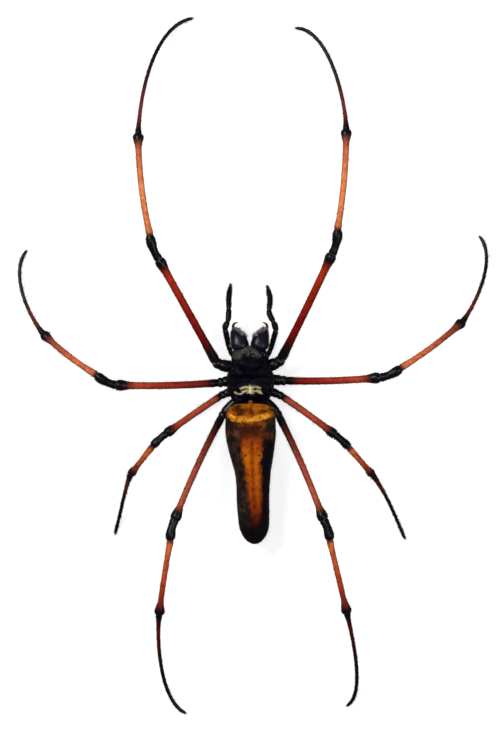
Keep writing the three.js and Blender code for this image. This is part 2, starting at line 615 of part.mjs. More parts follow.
function waistGeometry(extra = 0) {
  const curve = new THREE.LineCurve3(vector(WAIST_START), vector(WAIST_END));
  const length = curve.getLength();
  const shaft = WAIST_SHAPE.map(([along, share]) => [along * length, share * WAIST_HALF]);
  return limb(curve, [[0, 0], ...shaft, [length, 0]], { sides: WAIST_SIDES, extra });
}

const group = new THREE.Group();
const body = new THREE.Group();
body.position.set(BODY_SHIFT_X, BODY_SHIFT_Y, 0);
group.add(body);

function addPart(name, geometry, finish) {
  const material = new THREE.MeshStandardMaterial({ ...FINISHES[finish], metalness: 0 });
  const mesh = new THREE.Mesh(geometry, material);
  mesh.name = name;
  body.add(mesh);
}

// Legs: five pieces each, from the coxa at the body to the foot on the floor.
const floor = belowFloor();
const coxaRoom = [];
for (const [name, stance] of Object.entries(LEGS)) {
  const size = LEG_PAIRS[name[3]];
  const curves = legCurves(stance, size);
  const { femur, patella, tibia, foot } = legGeometries(curves, size);
  addPart(`${name}_coxa`, toGeometry(toSolid(coxaGeometry(curves, size))), "shell");
  addPart(`${name}_femur`, toGeometry(toSolid(femur)), "femur");
  addPart(`${name}_patella`, toGeometry(toSolid(patella)), "shell");
  addPart(`${name}_tibia`, toGeometry(toSolid(tibia)), "tibia");
  addPart(`${name}_foot`, toGeometry(toSolid(foot).subtract(floor)), "foot");
  coxaRoom.push(toSolid(coxaGeometry(curves, size, JOINT_GAP)));
}

// Head and thorax, with room left for the coxae, the jaws, the waist and the eyes.
const eyes = eyePlaces();
let carapace = toSolid(skin({
  front: CARAPACE_FRONT,
  rear: CARAPACE_REAR,
  steps: CARAPACE_STEPS,
  sides: BODY_SIDES,
  round: CARAPACE_ROUND,
  section: carapaceSection,
  relief: carapaceDent,
}));
for (const side of [-1, 1]) {
  const horn = [side * HORN_X, HORN_Y, carapaceHeight(side * HORN_X, HORN_Y)];
  carapace = carapace.add(toSolid(ball(horn, HORN_HALF, [1, 1, HORN_TALL])));
}
let sternum = sternumSolid();
for (const room of coxaRoom) {
  carapace = carapace.subtract(room);
  sternum = sternum.subtract(room);
}
for (const [name, side] of JAW_SIDES) {
  const room = toSolid(cheliceraGeometry(name, side, JOINT_GAP));
  carapace = carapace.subtract(room);
  sternum = sternum.subtract(room);
}
carapace = carapace.subtract(toSolid(waistGeometry(JOINT_GAP)));
for (const { name, place, half } of eyes) {
  carapace = carapace.subtract(toSolid(ball(place.toArray(), half + EYE_GAP)));
  addPart(name, ball(place.toArray(), half), "eye");
}
addPart("carapace", toGeometry(carapace), "shell");
addPart("sternum", toGeometry(sternum), "shell");
addPart("waist", toGeometry(toSolid(waistGeometry())), "shell");

// Jaws and feelers.
for (const [name, side] of JAW_SIDES) {
  const jaw = toSolid(cheliceraGeometry(name, side)).subtract(toSolid(fangGeometry(name, side, JOINT_GAP)));
  addPart(`chelicera_${name}`, toGeometry(jaw), "shell");
  addPart(`fang_${name}`, toGeometry(toSolid(fangGeometry(name, side))), "fang");
  addPart(`palp_${name}`, toGeometry(toSolid(palpGeometry(PALPS[name]))), "shell");
}

// Abdomen with its spinnerets.
const abdomen = toSolid(skin({
  front: ABDOMEN_FRONT,
  rear: ABDOMEN_REAR,
  steps: ABDOMEN_STEPS,
  sides: BODY_SIDES,
  round: ABDOMEN_ROUND,
  section: abdomenSection,
})).subtract(toSolid(waistGeometry(JOINT_GAP))).subtract(spinneretSolid(JOINT_GAP));
addPart("abdomen", toGeometry(abdomen), "gold");
addPart("spinnerets", toGeometry(spinneretSolid()), "shell");

export default group;
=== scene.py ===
"""A golden silk orb weaver, an adult female of the red-legged kind: its shell, skin and coat.

The tables give millimetres in the body's own frame, head towards +Y. Meshes are made in metres.
Limbs are grown straight along +X, ring by ring, and then laid along their paths.
"""

import math

import bpy
import numpy as np
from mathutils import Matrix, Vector


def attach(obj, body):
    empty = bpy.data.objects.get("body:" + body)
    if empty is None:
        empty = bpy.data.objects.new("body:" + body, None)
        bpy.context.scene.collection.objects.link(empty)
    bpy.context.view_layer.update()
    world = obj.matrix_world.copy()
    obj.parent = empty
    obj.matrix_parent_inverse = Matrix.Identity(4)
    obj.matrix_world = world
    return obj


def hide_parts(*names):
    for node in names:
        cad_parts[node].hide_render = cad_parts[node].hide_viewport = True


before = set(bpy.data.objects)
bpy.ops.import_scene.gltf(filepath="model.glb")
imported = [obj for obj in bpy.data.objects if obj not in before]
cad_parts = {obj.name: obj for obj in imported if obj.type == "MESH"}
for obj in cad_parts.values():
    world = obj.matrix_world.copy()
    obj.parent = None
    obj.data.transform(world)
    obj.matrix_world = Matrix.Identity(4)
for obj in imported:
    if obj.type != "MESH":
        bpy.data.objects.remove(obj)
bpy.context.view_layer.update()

bl_info = {
    "name": "Golden silk orb weaver",
    "version": (1, 0, 0),
    "blender": (4, 5, 0),
    "location": "View3D > Sidebar > Weaver",
    "description": "Builds the spider's shell, skin and coat around its solids",
    "category": "Add Mesh",
}

MM = 0.001
BODY_SHIFT = np.array((-0.6, 0.2, 0.0))
SIDES = {"left": -1, "right": 1}
UP = np.array((0.0, 0.0, 1.0))

# ---- legs: half thicknesses of each pair, and how far before the femur the coxa points its way
LEG_PAIRS = {
    1: dict(coxa=1.4, lead=1.2, root=1.14, femur=0.89, knee=1.3, neck=1.0, patella=1.18, tibia=0.7, ankle=1.3,
            foot=0.43),
    2: dict(coxa=1.22, lead=1.2, root=0.93, femur=0.83, knee=1.29, neck=1.0, patella=1.15, tibia=0.68, ankle=1.22,
            foot=0.41),
    3: dict(coxa=1.0, lead=1.4, root=0.82, femur=0.75, knee=1.14, neck=0.89, patella=0.99, tibia=0.61, ankle=1.0,
            foot=0.4),
    4: dict(coxa=1.1, lead=2.6, root=0.9, femur=0.74, knee=1.28, neck=1.05, patella=1.17, tibia=0.64, ankle=1.24,
            foot=0.43),
}

# Places of the joints, bows of femur, patella and tibia to the left of their way, headings and reaches of the foot.
LEGS = {
    "leg1_left": dict(
        joints=((-3.0, -0.6, 5.0), (-8.0, 0.8, 5.8), (-21.0, 24.2, 14.0), (-23.1, 29.9, 14.5), (-25.8, 53.1, 9.4)),
        tip=(-13.3, 79.9), bows=(0, 0.4, 0.65), headings=(88, 10), reaches=(10.1, 8.9),
    ),
    "leg1_right": dict(
        joints=((3.0, -0.6, 5.0), (7.1, 1.4, 5.8), (18.7, 25.4, 14.0), (20.0, 31.2, 14.5), (22.0, 54.1, 9.2)),
        tip=(10.4, 77.6), bows=(-0.12, -0.4, -0.5), headings=(91, 182), reaches=(8.2, 7.1),
    ),
    "leg2_left": dict(
        joints=((-3.0, -3.3, 4.9), (-7.6, -4.1, 5.6), (-30.9, -4.6, 13.2), (-35.5, -2.2, 13.3), (-47.7, 7.2, 6.6)),
        tip=(-51.6, 26.3), bows=(0.35, 0.4, 0.45), headings=(129, 51), reaches=(6.3, 6.1),
    ),
    "leg2_right": dict(
        joints=((3.0, -3.2, 4.9), (8.3, -3.6, 5.6), (29.7, -2.9, 14.4), (34.6, -0.6, 14.4), (48.8, 10.0, 8.8)),
        tip=(52.8, 29.6), bows=(-0.35, -0.4, -0.45), headings=(54, 130), reaches=(6.7, 5.9),
    ),
    "leg3_left": dict(
        joints=((-2.9, -5.5, 4.8), (-7.0, -7.2, 5.3), (-19.4, -15.8, 11.0), (-22.6, -18.8, 11.2), (-27.6, -25.2, 7.0)),
        tip=(-31.2, -38.9), bows=(-0.1, -0.15, 0), headings=(249, 254), reaches=(4.1, 3.8),
    ),
    "leg3_right": dict(
        joints=((2.9, -5.5, 4.8), (7.4, -7.3, 5.3), (19.5, -16.1, 11.0), (22.7, -19.1, 11.2), (28.1, -25.3, 7.0)),
        tip=(35.6, -40.0), bows=(0.15, 0.15, 0), headings=(307, 294), reaches=(5.6, 4.9),
    ),
    "leg4_left": dict(
        joints=((-2.4, -7.6, 4.7), (-6.7, -12.1, 5.0), (-17.4, -35.6, 13.6), (-18.4, -40.4, 13.9), (-21.0, -57.4, 8.0)),
        tip=(-14.9, -80.2), bows=(-0.42, -0.3, -0.15), headings=(264, 337), reaches=(7.1, 6.1),
    ),
    "leg4_right": dict(
        joints=((2.4, -7.6, 4.7), (6.6, -11.9, 5.0), (16.8, -35.6, 13.6), (18.2, -40.3, 13.9), (22.2, -57.1, 8.0)),
        tip=(22.2, -78.5), bows=(0.42, 0.3, 0), headings=(283, 209), reaches=(5.7, 5.1),
    ),
}
SEGMENTS = ("coxa", "femur", "patella", "tibia", "foot")
FEMUR_ARCH = 1.1
TIBIA_ARCH = 0.4
FOOT_TIP_Z = 0.24
FOOT_LEVEL = (0.6, 0.1)

# Rings of each segment: share of its length, millimetres past that, the size it follows, its width and height.
LEG_FORM = (
    (
        (0, 0.0, "coxa", 0.45, 0.45), (0, 0.25, "coxa", 0.8, 0.8), (0, 0.8, "coxa", 1.0, 1.0),
        (0.5, 0.0, "coxa", 1.0, 1.0), (1, -1.75, "coxa", 0.97, 0.97), (1, -1.45, "coxa", 0.9, 0.9),
        (1, -1.3, "coxa", 0.79, 0.79), (1, -1.15, "coxa", 0.86, 0.86), (1, -0.7, "coxa", 0.94, 0.94),
        (1, -0.3, "coxa", 0.86, 0.86),
    ),
    (
        (0, 0.0, "root", 0.84, 0.84), (0, 0.25, "root", 0.95, 0.95), (0, 1.1, "root", 1.0, 1.0),
        (0, 2.8, "root", 0.92, 0.94), (0.26, 0.0, "femur", 1.02, 1.05), (0.5, 0.0, "femur", 1.0, 1.02),
        (1, -6.2, "femur", 0.98, 1.0), (1, -3.4, "femur", 1.04, 1.04), (1, -2.2, "knee", 0.84, 0.8),
        (1, -1.3, "knee", 0.98, 0.9), (1, -0.8, "knee", 1.0, 0.92), (1, -0.42, "knee", 0.95, 0.88),
        (1, -0.14, "knee", 0.86, 0.8),
    ),
    (
        (0, 0.0, "neck", 0.88, 0.84), (0, 0.14, "neck", 0.97, 0.9), (0, 0.5, "neck", 1.03, 0.96),
        (0.2, 0.0, "neck", 0.92, 0.92), (0.36, 0.0, "neck", 0.92, 0.94), (0.56, 0.0, "patella", 0.92, 0.92),
        (0.74, 0.0, "patella", 1.0, 0.96), (0.87, 0.0, "patella", 0.93, 0.9), (1, -0.3, "patella", 0.76, 0.74),
        (1, -0.12, "tibia", 1.14, 1.12),
    ),
    (
        (0, 0.0, "tibia", 1.06, 1.04), (0, 0.12, "tibia", 1.2, 1.16), (0, 0.5, "tibia", 1.24, 1.2),
        (0, 1.5, "tibia", 1.12, 1.1), (0, 4.0, "tibia", 1.0, 1.0), (1, -3.6, "tibia", 1.02, 1.0),
        (1, -2.5, "ankle", 0.68, 0.64), (1, -1.6, "ankle", 0.86, 0.8), (1, -0.8, "ankle", 1.0, 0.92),
        (1, -0.35, "ankle", 0.9, 0.82), (1, -0.1, "ankle", 0.72, 0.68),
    ),
    (
        (0, 0.0, "foot", 1.6, 1.55), (0, 0.15, "foot", 1.8, 1.7), (0, 0.6, "foot", 1.72, 1.62),
        (0, 1.6, "foot", 1.36, 1.3), (0, 3.4, "foot", 1.12, 1.1), (0, 6.0, "foot", 1.0, 1.0),
        (0.78, -0.5, "foot", 0.94, 0.94),
        (0.78, 0.0, "foot", 0.84, 0.84), (0.78, 0.3, "foot", 0.94, 0.94), (0.9, 0.0, "foot", 0.98, 0.98),
        (1, -1.2, "foot", 0.92, 0.92), (1, -0.3, "foot", 0.78, 0.78), (1, -0.08, "foot", 0.5, 0.5),
        (1, 0.0, "foot", 0.12, 0.12),
    ),
)
RING_STEP = 0.55

# Lengths of the black stretches: at a femur's base and end, and at a tibia's end.
# The black at a femur's base, and the dark red just after it, is partly the leg's own dark base and partly painted
# shade where the leg leaves the body.
COLLARS = {1: (5.0, 2.6, 2.25), 2: (3.0, 2.9, 2.2), 3: (1.4, 2.1, 1.7), 4: (3.2, 2.5, 2.1)}

# Colours along each pair of legs as seen from above: base, middle and end of each coloured stretch.
LEG_TONES = {
    1: dict(femur=((100, 13, 9), (136, 24, 13), (160, 44, 17)), tibia=((198, 110, 62), (218, 126, 74), (190, 96, 60)),
            foot=((112, 42, 28), (54, 26, 22), (14, 13, 13))),
    2: dict(femur=((108, 26, 20), (142, 40, 26), (164, 60, 33)), tibia=((204, 110, 68), (190, 92, 54), (148, 68, 42)),
            foot=((104, 38, 28), (52, 34, 30), (16, 15, 15))),
    3: dict(femur=((150, 66, 46), (162, 68, 44), (150, 52, 34)), tibia=((202, 100, 48), (180, 76, 38), (126, 52, 31)),
            foot=((88, 32, 22), (34, 16, 13), (9, 8, 7))),
    4: dict(femur=((66, 17, 13), (148, 62, 47), (164, 76, 48)), tibia=((200, 104, 58), (180, 72, 32), (134, 44, 25)),
            foot=((78, 15, 9), (42, 14, 11), (8, 8, 8))),
}

# ---- carapace
CARAPACE_FRONT = 3.6
CARAPACE_REAR = -8.55
CARAPACE_MARGIN_Z = 6.6
CARAPACE_UNDER_Z = 5.6
CARAPACE_HALF = ((-8.5, 4.0), (-7.4, 4.6), (-5.6, 5.3), (-3.6, 5.55), (-2.2, 5.35), (-1.0, 4.75), (0.2, 4.4),
                 (2.0, 4.25), (3.6, 4.0))
CARAPACE_TOP = ((-8.5, 7.7), (-7.2, 8.9), (-5.0, 9.9), (-3.4, 10.1), (-1.8, 10.9), (0.0, 11.2), (1.6, 10.6),
                (2.8, 9.6), (3.6, 8.7))
FOVEA_Y = -3.4
HEAD_TURN = -0.18
CREAM_STROKES = (
    (0.17, 0.7, ((-2.05, -5.4), (-1.0, -5.15), (0.0, -5.3), (1.0, -5.07), (2.0, -5.35))),
    (0.38, 1.0, ((0.0, -5.3), (0.0, -6.3))),
    (0.2, 0.6, ((0.0, -6.0), (-1.06, -5.9), (-1.6, -6.3), (-2.1, -6.7))),
    (0.15, 0.35, ((-2.1, -6.7), (-2.7, -6.65), (-3.4, -6.25))),
    (0.18, 0.6, ((0.0, -6.0), (0.83, -6.0), (1.6, -5.95), (2.3, -6.55))),
    (0.12, 0.5, ((1.2, -5.85), (1.75, -6.5))),
)
# Grey on the head's front: partly fine grey hair, partly painted sheen. The last stroke is a painted glint at the
# front-left corner.
GREY_HAIR_AND_SHEEN_STROKES = (
    (0.8, 1.0, ((-0.8, 4.1), (-2.1, 3.1), (-3.0, 2.2))),
    (0.55, 0.85, ((-0.1, 4.0), (1.0, 3.0), (1.8, 2.2))),
    (0.6, 0.4, ((-2.2, 2.6), (1.0, 2.8))),
    (0.3, 0.8, ((-4.2, 3.5), (-3.9, 3.3))),
)
HORNS = (0.85, -2.2)

# ---- eyes: place from above and half width
EYES = {
    "eye_front_middle": (0.5, 3.0, 0.27),
    "eye_rear_middle": (0.62, 2.1, 0.24),
    "eye_front_side": (3.0, 2.85, 0.21),
    "eye_rear_side": (3.3, 2.3, 0.21),
}

# ---- jaws and feelers
CHELICERA_PATH = ((2.38, 3.3, 6.95), (2.42, 6.3, 6.9), (3.28, 8.4, 5.0))
CHELICERA_OUTER = ((0, 0.55), (0.05, 0.8), (0.12, 0.96), (0.23, 1.03), (0.45, 1.0), (0.68, 0.88), (0.8, 0.8),
                   (0.9, 0.68), (0.96, 0.5), (0.99, 0.3), (1, 0.12))
CHELICERA_INNER = ((0, 0.5), (0.05, 0.78), (0.12, 0.98), (0.23, 1.05), (0.4, 0.97), (0.5, 0.9), (0.55, 0.82),
                   (0.62, 0.64), (0.74, 0.38), (0.86, 0.16), (0.96, 0.06), (1, 0.04))
CHELICERA_HALF = 1.94
CHELICERA_TALL = 0.86
CHELICERA_SHIFT = {"left": -0.06, "right": -0.3}
FANG_PATH = ((3.55, 8.0, 4.55), (3.95, 8.75, 4.5), (3.75, 9.45, 4.1), (2.75, 9.95, 3.2))
PALP_PATHS = {
    "left": ((-3.7, 1.75, 4.9), (-4.7, 3.4, 5.1), (-5.5, 6.7, 6.5), (-5.82, 8.6, 7.1), (-5.15, 10.4, 7.1),
             (-5.0, 12.9, 6.5), (-4.95, 15.8, 5.5), (-4.55, 18.8, 4.2)),
    "right": ((3.6, 1.75, 4.9), (4.52, 3.4, 5.1), (5.4, 6.4, 6.5), (5.8, 8.3, 7.1), (5.15, 10.1, 7.1),
              (4.3, 12.2, 6.5), (4.5, 15.2, 5.5), (3.8, 18.4, 4.2)),
}
PALP_HALF = 0.61

# ---- abdomen
ABDOMEN_FRONT = -8.85
ABDOMEN_REAR = -41.2
ABDOMEN_HALF = ((-41.2, 3.3), (-36.7, 3.5), (-33, 3.68), (-28.6, 3.78), (-25.2, 4.05), (-21.7, 4.78), (-18.3, 5.45),
                (-15.5, 5.8), (-12.5, 5.75), (-8.95, 5.2))
ABDOMEN_TOP = ((-41.2, 8.4), (-38, 9.1), (-33, 9.8), (-27, 10.6), (-21, 11.8), (-16, 12.7), (-12, 12.6),
               (-8.95, 11.8))
ABDOMEN_BOTTOM = ((-41.2, 4.4), (-38, 3.2), (-33, 2.7), (-26, 2.6), (-20, 2.9), (-16, 3.7), (-12.5, 5.6),
                  (-8.95, 7.0))
ABDOMEN_MIDDLE = ((-41.2, 0.95), (-36, 0.78), (-31, 0.58), (-26.5, 0.58), (-22.5, 0.38), (-17.5, 0.1), (-13, 0),
                  (-8.95, 0))
PALE_STROKES = (
    (0.5, 1.0, ((-4.0, -11.6), (-3.7, -11.9))),
    (0.7, 0.8, ((-0.4, -12.6), (1.2, -12.5))),
    (0.5, 0.6, ((3.2, -11.7), (3.9, -11.7))),
)
# Darker brown mottles on the front; the last two strokes darken the front's side edges as painted shade.
MOTTLE_AND_EDGE_SHADE_STROKES = (
    (0.75, 1.0, ((-3.0, -10.2), (-2.0, -11.2))),
    (0.3, 0.9, ((1.8, -11.3), (3.2, -10.9), (4.4, -10.1))),
    (0.5, 0.6, ((-0.9, -10.0), (-0.4, -10.6))),
    (0.5, 0.75, ((-5.5, -9.8), (-5.35, -10.8))),
    (0.55, 0.55, ((5.4, -9.8), (5.3, -11.0))),
)
TINGE_STROKES = (
    (0.9, 0.32, ((2.9, -15.8), (4.8, -16.2))),
    (0.9, 0.28, ((-4.8, -15.4), (-3.0, -15.8))),
    (0.45, 0.7, ((-3.3, -13.4), (-2.3, -14.0))),
    (0.5, 0.85, ((2.2, -13.2), (3.0, -13.5), (2.7, -14.8))),
)
# Painted shade along the side edges of the abdomen's front.
SIDE_EDGE_SHADE_STROKES = (
    (0.55, 1.0, ((-5.45, -9.4), (-5.6, -11.7))),
    (0.6, 0.9, ((5.15, -9.4), (5.35, -12.2))),
)
MIDLINE = (0.55, 1.0, ((0.35, -18.0), (0.45, -22.0), (0.6, -29.0), (1.0, -33.0)))
DIMPLES = ((-1.15, -20.8), (1.95, -20.8))
DIMPLE_HALF = 0.3
BELLY_STROKES = (
    (0.32, 0.9, ((-1.7, -17.6), (-1.5, -22.0), (-1.1, -27.0), (-0.5, -32.5))),
    (0.32, 0.9, ((1.8, -17.6), (1.9, -22.0), (1.9, -27.0), (1.9, -32.5))),
    (0.3, 0.8, ((-3.4, -16.6), (0.0, -17.2), (3.4, -16.6))),
    (0.9, 0.5, ((-2.8, -13.6), (-2.6, -14.8))),
    (0.9, 0.5, ((2.8, -13.6), (2.6, -14.8))),
)
STRIPE_TONES = (
    (-38.8, (9, 7, 9)), (-37.0, (42, 12, 5)), (-35.0, (80, 28, 5)), (-33.0, (126, 50, 5)), (-30.0, (158, 72, 7)),
    (-26.0, (172, 86, 8)), (-21.5, (182, 96, 9)), (-18.8, (168, 80, 8)), (-17.6, (138, 60, 8)),
    (-16.4, (88, 36, 6)), (-15.4, (60, 24, 4)), (-14.4, (54, 20, 3)), (-13.2, (104, 46, 6)),
)
SPINNERET_Y = -35.6
SPINNERET_Z = 3.5

# ---- underside
STERNUM_HALF = ((-8.3, 0.9), (-7.2, 1.5), (-5, 2.5), (-2.6, 2.9), (-0.6, 2.6), (0.9, 1.7))


# ------------------------------------------------------------------ shapes


def smooth(pairs):
    """A value that runs smoothly, without overshoot, through pairs of place and value."""
    xs, ys = np.array(pairs, float).T
    steps = np.diff(ys) / np.diff(xs)
    same = steps[1:] * steps[:-1] > 0
    total = np.where(same, steps[1:] + steps[:-1], 1)
    inner = np.where(same, 2 * steps[1:] * steps[:-1] / total, 0)
    slopes = np.concatenate(([steps[0]], inner, [steps[-1]]))

    def value(x):
        x = np.clip(x, xs[0], xs[-1])
        i = np.clip(np.searchsorted(xs, x, side="right") - 1, 0, len(steps) - 1)
        width = xs[i + 1] - xs[i]
        t = (x - xs[i]) / width
        ahead, back = t * t * (3 - 2 * t), (1 - t) ** 2 * (1 + 2 * t)
        return (ys[i] * back + ys[i + 1] * ahead + slopes[i] * width * t * (1 - t) ** 2
                + slopes[i + 1] * width * t * t * (t - 1))

    return value


def clear():
    """Leaves edit mode and deselects everything."""
    if bpy.context.object and bpy.context.object.mode != "OBJECT":
        bpy.ops.object.mode_set(mode="OBJECT")
    bpy.ops.object.select_all(action="DESELECT")


def choose(obj):
    """Makes one object the selected and active one."""
    clear()
    obj.select_set(True)
    bpy.context.view_layer.objects.active = obj


def loft(name, rings, sides, square=2.0):
    """Grows a closed form along +X from a disc, ring by ring. A ring is its place along X, its middle's shift
    across and up, its half width, and its rise and drop, in millimetres."""
    clear()
    bpy.ops.mesh.primitive_circle_add(vertices=sides, radius=MM, fill_type="NGON", rotation=(0, math.pi / 2, 0))
    obj = bpy.context.object
    obj.name = obj.data.name = name
    bpy.ops.object.transform_apply(location=True, rotation=True, scale=True)
    for v in obj.data.vertices:
        y, z = v.co.y / MM, v.co.z / MM
        v.co.y = math.copysign(abs(y) ** (2 / square), y) * MM
        v.co.z = math.copysign(abs(z) ** (2 / square), z) * MM
    bpy.ops.object.mode_set(mode="EDIT")
    bpy.ops.mesh.select_all(action="SELECT")
    last = (0, 0, 0, 1, 1, 1)
    for index, ring in enumerate(rings):
        step = Vector([(ring[k] - last[k]) * MM for k in range(3)])
        if index:
            bpy.ops.mesh.extrude_region_move(TRANSFORM_OT_translate={"value": step})
        else:
            bpy.ops.transform.translate(value=step)
        centre = Vector([ring[k] * MM for k in range(3)])
        bpy.ops.transform.resize(value=(1, ring[3] / last[3], ring[4] / last[4]), center_override=centre)
        last = ring[:4] + (ring[4], ring[4])
    bpy.ops.mesh.select_all(action="SELECT")
    bpy.ops.mesh.normals_make_consistent(inside=False)
    bpy.ops.object.mode_set(mode="OBJECT")
    if any(abs(ring[5] - ring[4]) > 1e-6 for ring in rings):
        xs = np.array([ring[0] for ring in rings])
        for v in obj.data.vertices:
            ring = rings[int(np.argmin(abs(xs - v.co.x / MM)))]
            middle = ring[2] * MM
            if v.co.z < middle:
                v.co.z = middle + (v.co.z - middle) * ring[5] / ring[4]
    return obj


def coords(obj):
    """The places of a mesh's vertices, as rows."""
    flat = np.empty(len(obj.data.vertices) * 3, np.float32)
    obj.data.vertices.foreach_get("co", flat)
    return flat.reshape(-1, 3).astype(float)


def put(obj, places):
    """Moves a mesh's vertices to places."""
    obj.data.vertices.foreach_set("co", np.asarray(places, np.float32).ravel())
    obj.data.update()


def paint(obj, name, values):
    """Stores a value for each vertex, which a material reads."""
    field = obj.data.attributes.get(name) or obj.data.attributes.new(name, "FLOAT", "POINT")
    field.data.foreach_set("value", np.asarray(values, np.float32))


def push(obj, places, move, reach, falloff="SMOOTH"):
    """Moves the vertices nearest to some places, given in model metres, and softly those within reach of them."""
    at = coords(obj)
    picked = {int(np.argmin(((at - place) ** 2).sum(axis=1))) for place in np.asarray(places, float)}
    choose(obj)
    bpy.ops.object.mode_set(mode="EDIT")
    bpy.ops.mesh.select_mode(type="VERT")
    bpy.ops.mesh.select_all(action="DESELECT")
    bpy.ops.object.mode_set(mode="OBJECT")
    for index in picked:
        obj.data.vertices[index].select = True
    bpy.ops.object.mode_set(mode="EDIT")
    bpy.ops.transform.translate(value=Vector(move), use_proportional_edit=True, proportional_edit_falloff=falloff,
                                proportional_size=reach)
    bpy.ops.object.mode_set(mode="OBJECT")


def apply(obj, kind, **settings):
    """Adds a modifier and applies it."""
    choose(obj)
    modifier = obj.modifiers.new(kind.lower(), kind)
    for name, value in settings.items():
        setattr(modifier, name, value)
    bpy.ops.object.modifier_apply(modifier=modifier.name)


def join(pieces):
    """Joins pieces into the first."""
    clear()
    for piece in pieces:
        piece.select_set(True)
    bpy.context.view_layer.objects.active = pieces[0]
    bpy.ops.object.join()
    return pieces[0]


def model(place):
    """A place in the body's millimetres, in the model's metres."""
    return (np.array(place, float) + BODY_SHIFT) * MM


def quad_span(start, control, end):
    """The four points of a cubic curve that is the quadratic one through start and end."""
    return [start, start + (control - start) * 2 / 3, end + (control - end) * 2 / 3, end]


def through(places):
    """Spans of a smooth curve through places."""
    points = [np.array(place, float) for place in places]
    ends = [2 * points[0] - points[1], *points, 2 * points[-1] - points[-2]]
    return [[points[i], points[i] + (ends[i + 2] - ends[i]) / 6,
             points[i + 1] - (ends[i + 3] - ends[i + 1]) / 6, points[i + 1]] for i in range(len(points) - 1)]


def span_length(span):
    """How long a cubic span is."""
    t = np.linspace(0, 1, 201)[:, None]
    a, b, c, d = span
    line = (1 - t) ** 3 * a + 3 * t * (1 - t) ** 2 * b + 3 * t * t * (1 - t) * c + t**3 * d
    return float(np.linalg.norm(np.diff(line, axis=0), axis=1).sum())


def lay(pieces, spans):
    """Bends straight pieces along a path given in the body's millimetres."""
    clear()
    bpy.ops.curve.primitive_bezier_curve_add()
    path = bpy.context.object
    path.location = (0, 0, 0)
    curve = path.data
    curve.dimensions, curve.twist_mode, curve.resolution_u, curve.use_path = "3D", "Z_UP", 48, True
    line = curve.splines[0]
    line.bezier_points.add(len(spans) - 1)
    for index, point in enumerate(line.bezier_points):
        point.handle_left_type = point.handle_right_type = "FREE"
        before, after = spans[max(index - 1, 0)], spans[min(index, len(spans) - 1)]
        here = model(after[0] if index < len(spans) else before[3])
        point.co = here
        point.handle_left = model(before[2]) if index else here + (here - model(after[1]))
        point.handle_right = model(after[1]) if index < len(spans) else here + (here - model(before[2]))
    for piece in pieces:
        apply(piece, "CURVE", object=path, deform_axis="POS_X")
    bpy.data.objects.remove(path)


def place(obj, at, turn=(0, 0, 0), scale=1.0):
    """Turns a straight piece and sets it in its place, which its mesh then holds."""
    choose(obj)
    obj.location, obj.rotation_euler, obj.scale = Vector(at), turn, (scale,) * 3
    bpy.ops.object.transform_apply(location=True, rotation=True, scale=True)


def settle(obj, finishes, nodes=()):
    """Gives a finished piece its materials and its body, and hides the solids that it stands for."""
    obj.data.materials.clear()
    for finish in finishes:
        obj.data.materials.append(finish)
    obj.data.polygons.foreach_set("use_smooth", [True] * len(obj.data.polygons))
    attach(obj, "root")
    if nodes:
        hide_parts(*nodes)
    return obj


# ------------------------------------------------------------------ hairs


def triangles(mesh, at):
    """The corners of a mesh's triangles. Extruding leaves the faces in no set order, so they are put in order of
    their places, which makes the hairs the same each time."""
    rank = np.empty(len(at), int)
    rank[np.argsort(at @ SORT_WAY)] = np.arange(len(at))
    sizes, starts = (np.empty(len(mesh.polygons), np.int32) for _ in range(2))
    corners = np.empty(len(mesh.loops), np.int32)
    mesh.polygons.foreach_get("loop_total", sizes)
    mesh.polygons.foreach_get("loop_start", starts)
    mesh.loops.foreach_get("vertex_index", corners)
    fans = []
    for size in np.unique(sizes):
        rings = corners[starts[sizes == size][:, None] + np.arange(size)]
        first = rank[rings].argmin(axis=1)
        rings = rings[np.arange(len(rings))[:, None], (first[:, None] + np.arange(size)) % size]
        fans += [rings[:, (0, k, k + 1)] for k in range(1, size - 1)]
    found = np.concatenate(fans)
    keys = rank[found]
    return found[np.lexsort((keys[:, 2], keys[:, 1], keys[:, 0]))]


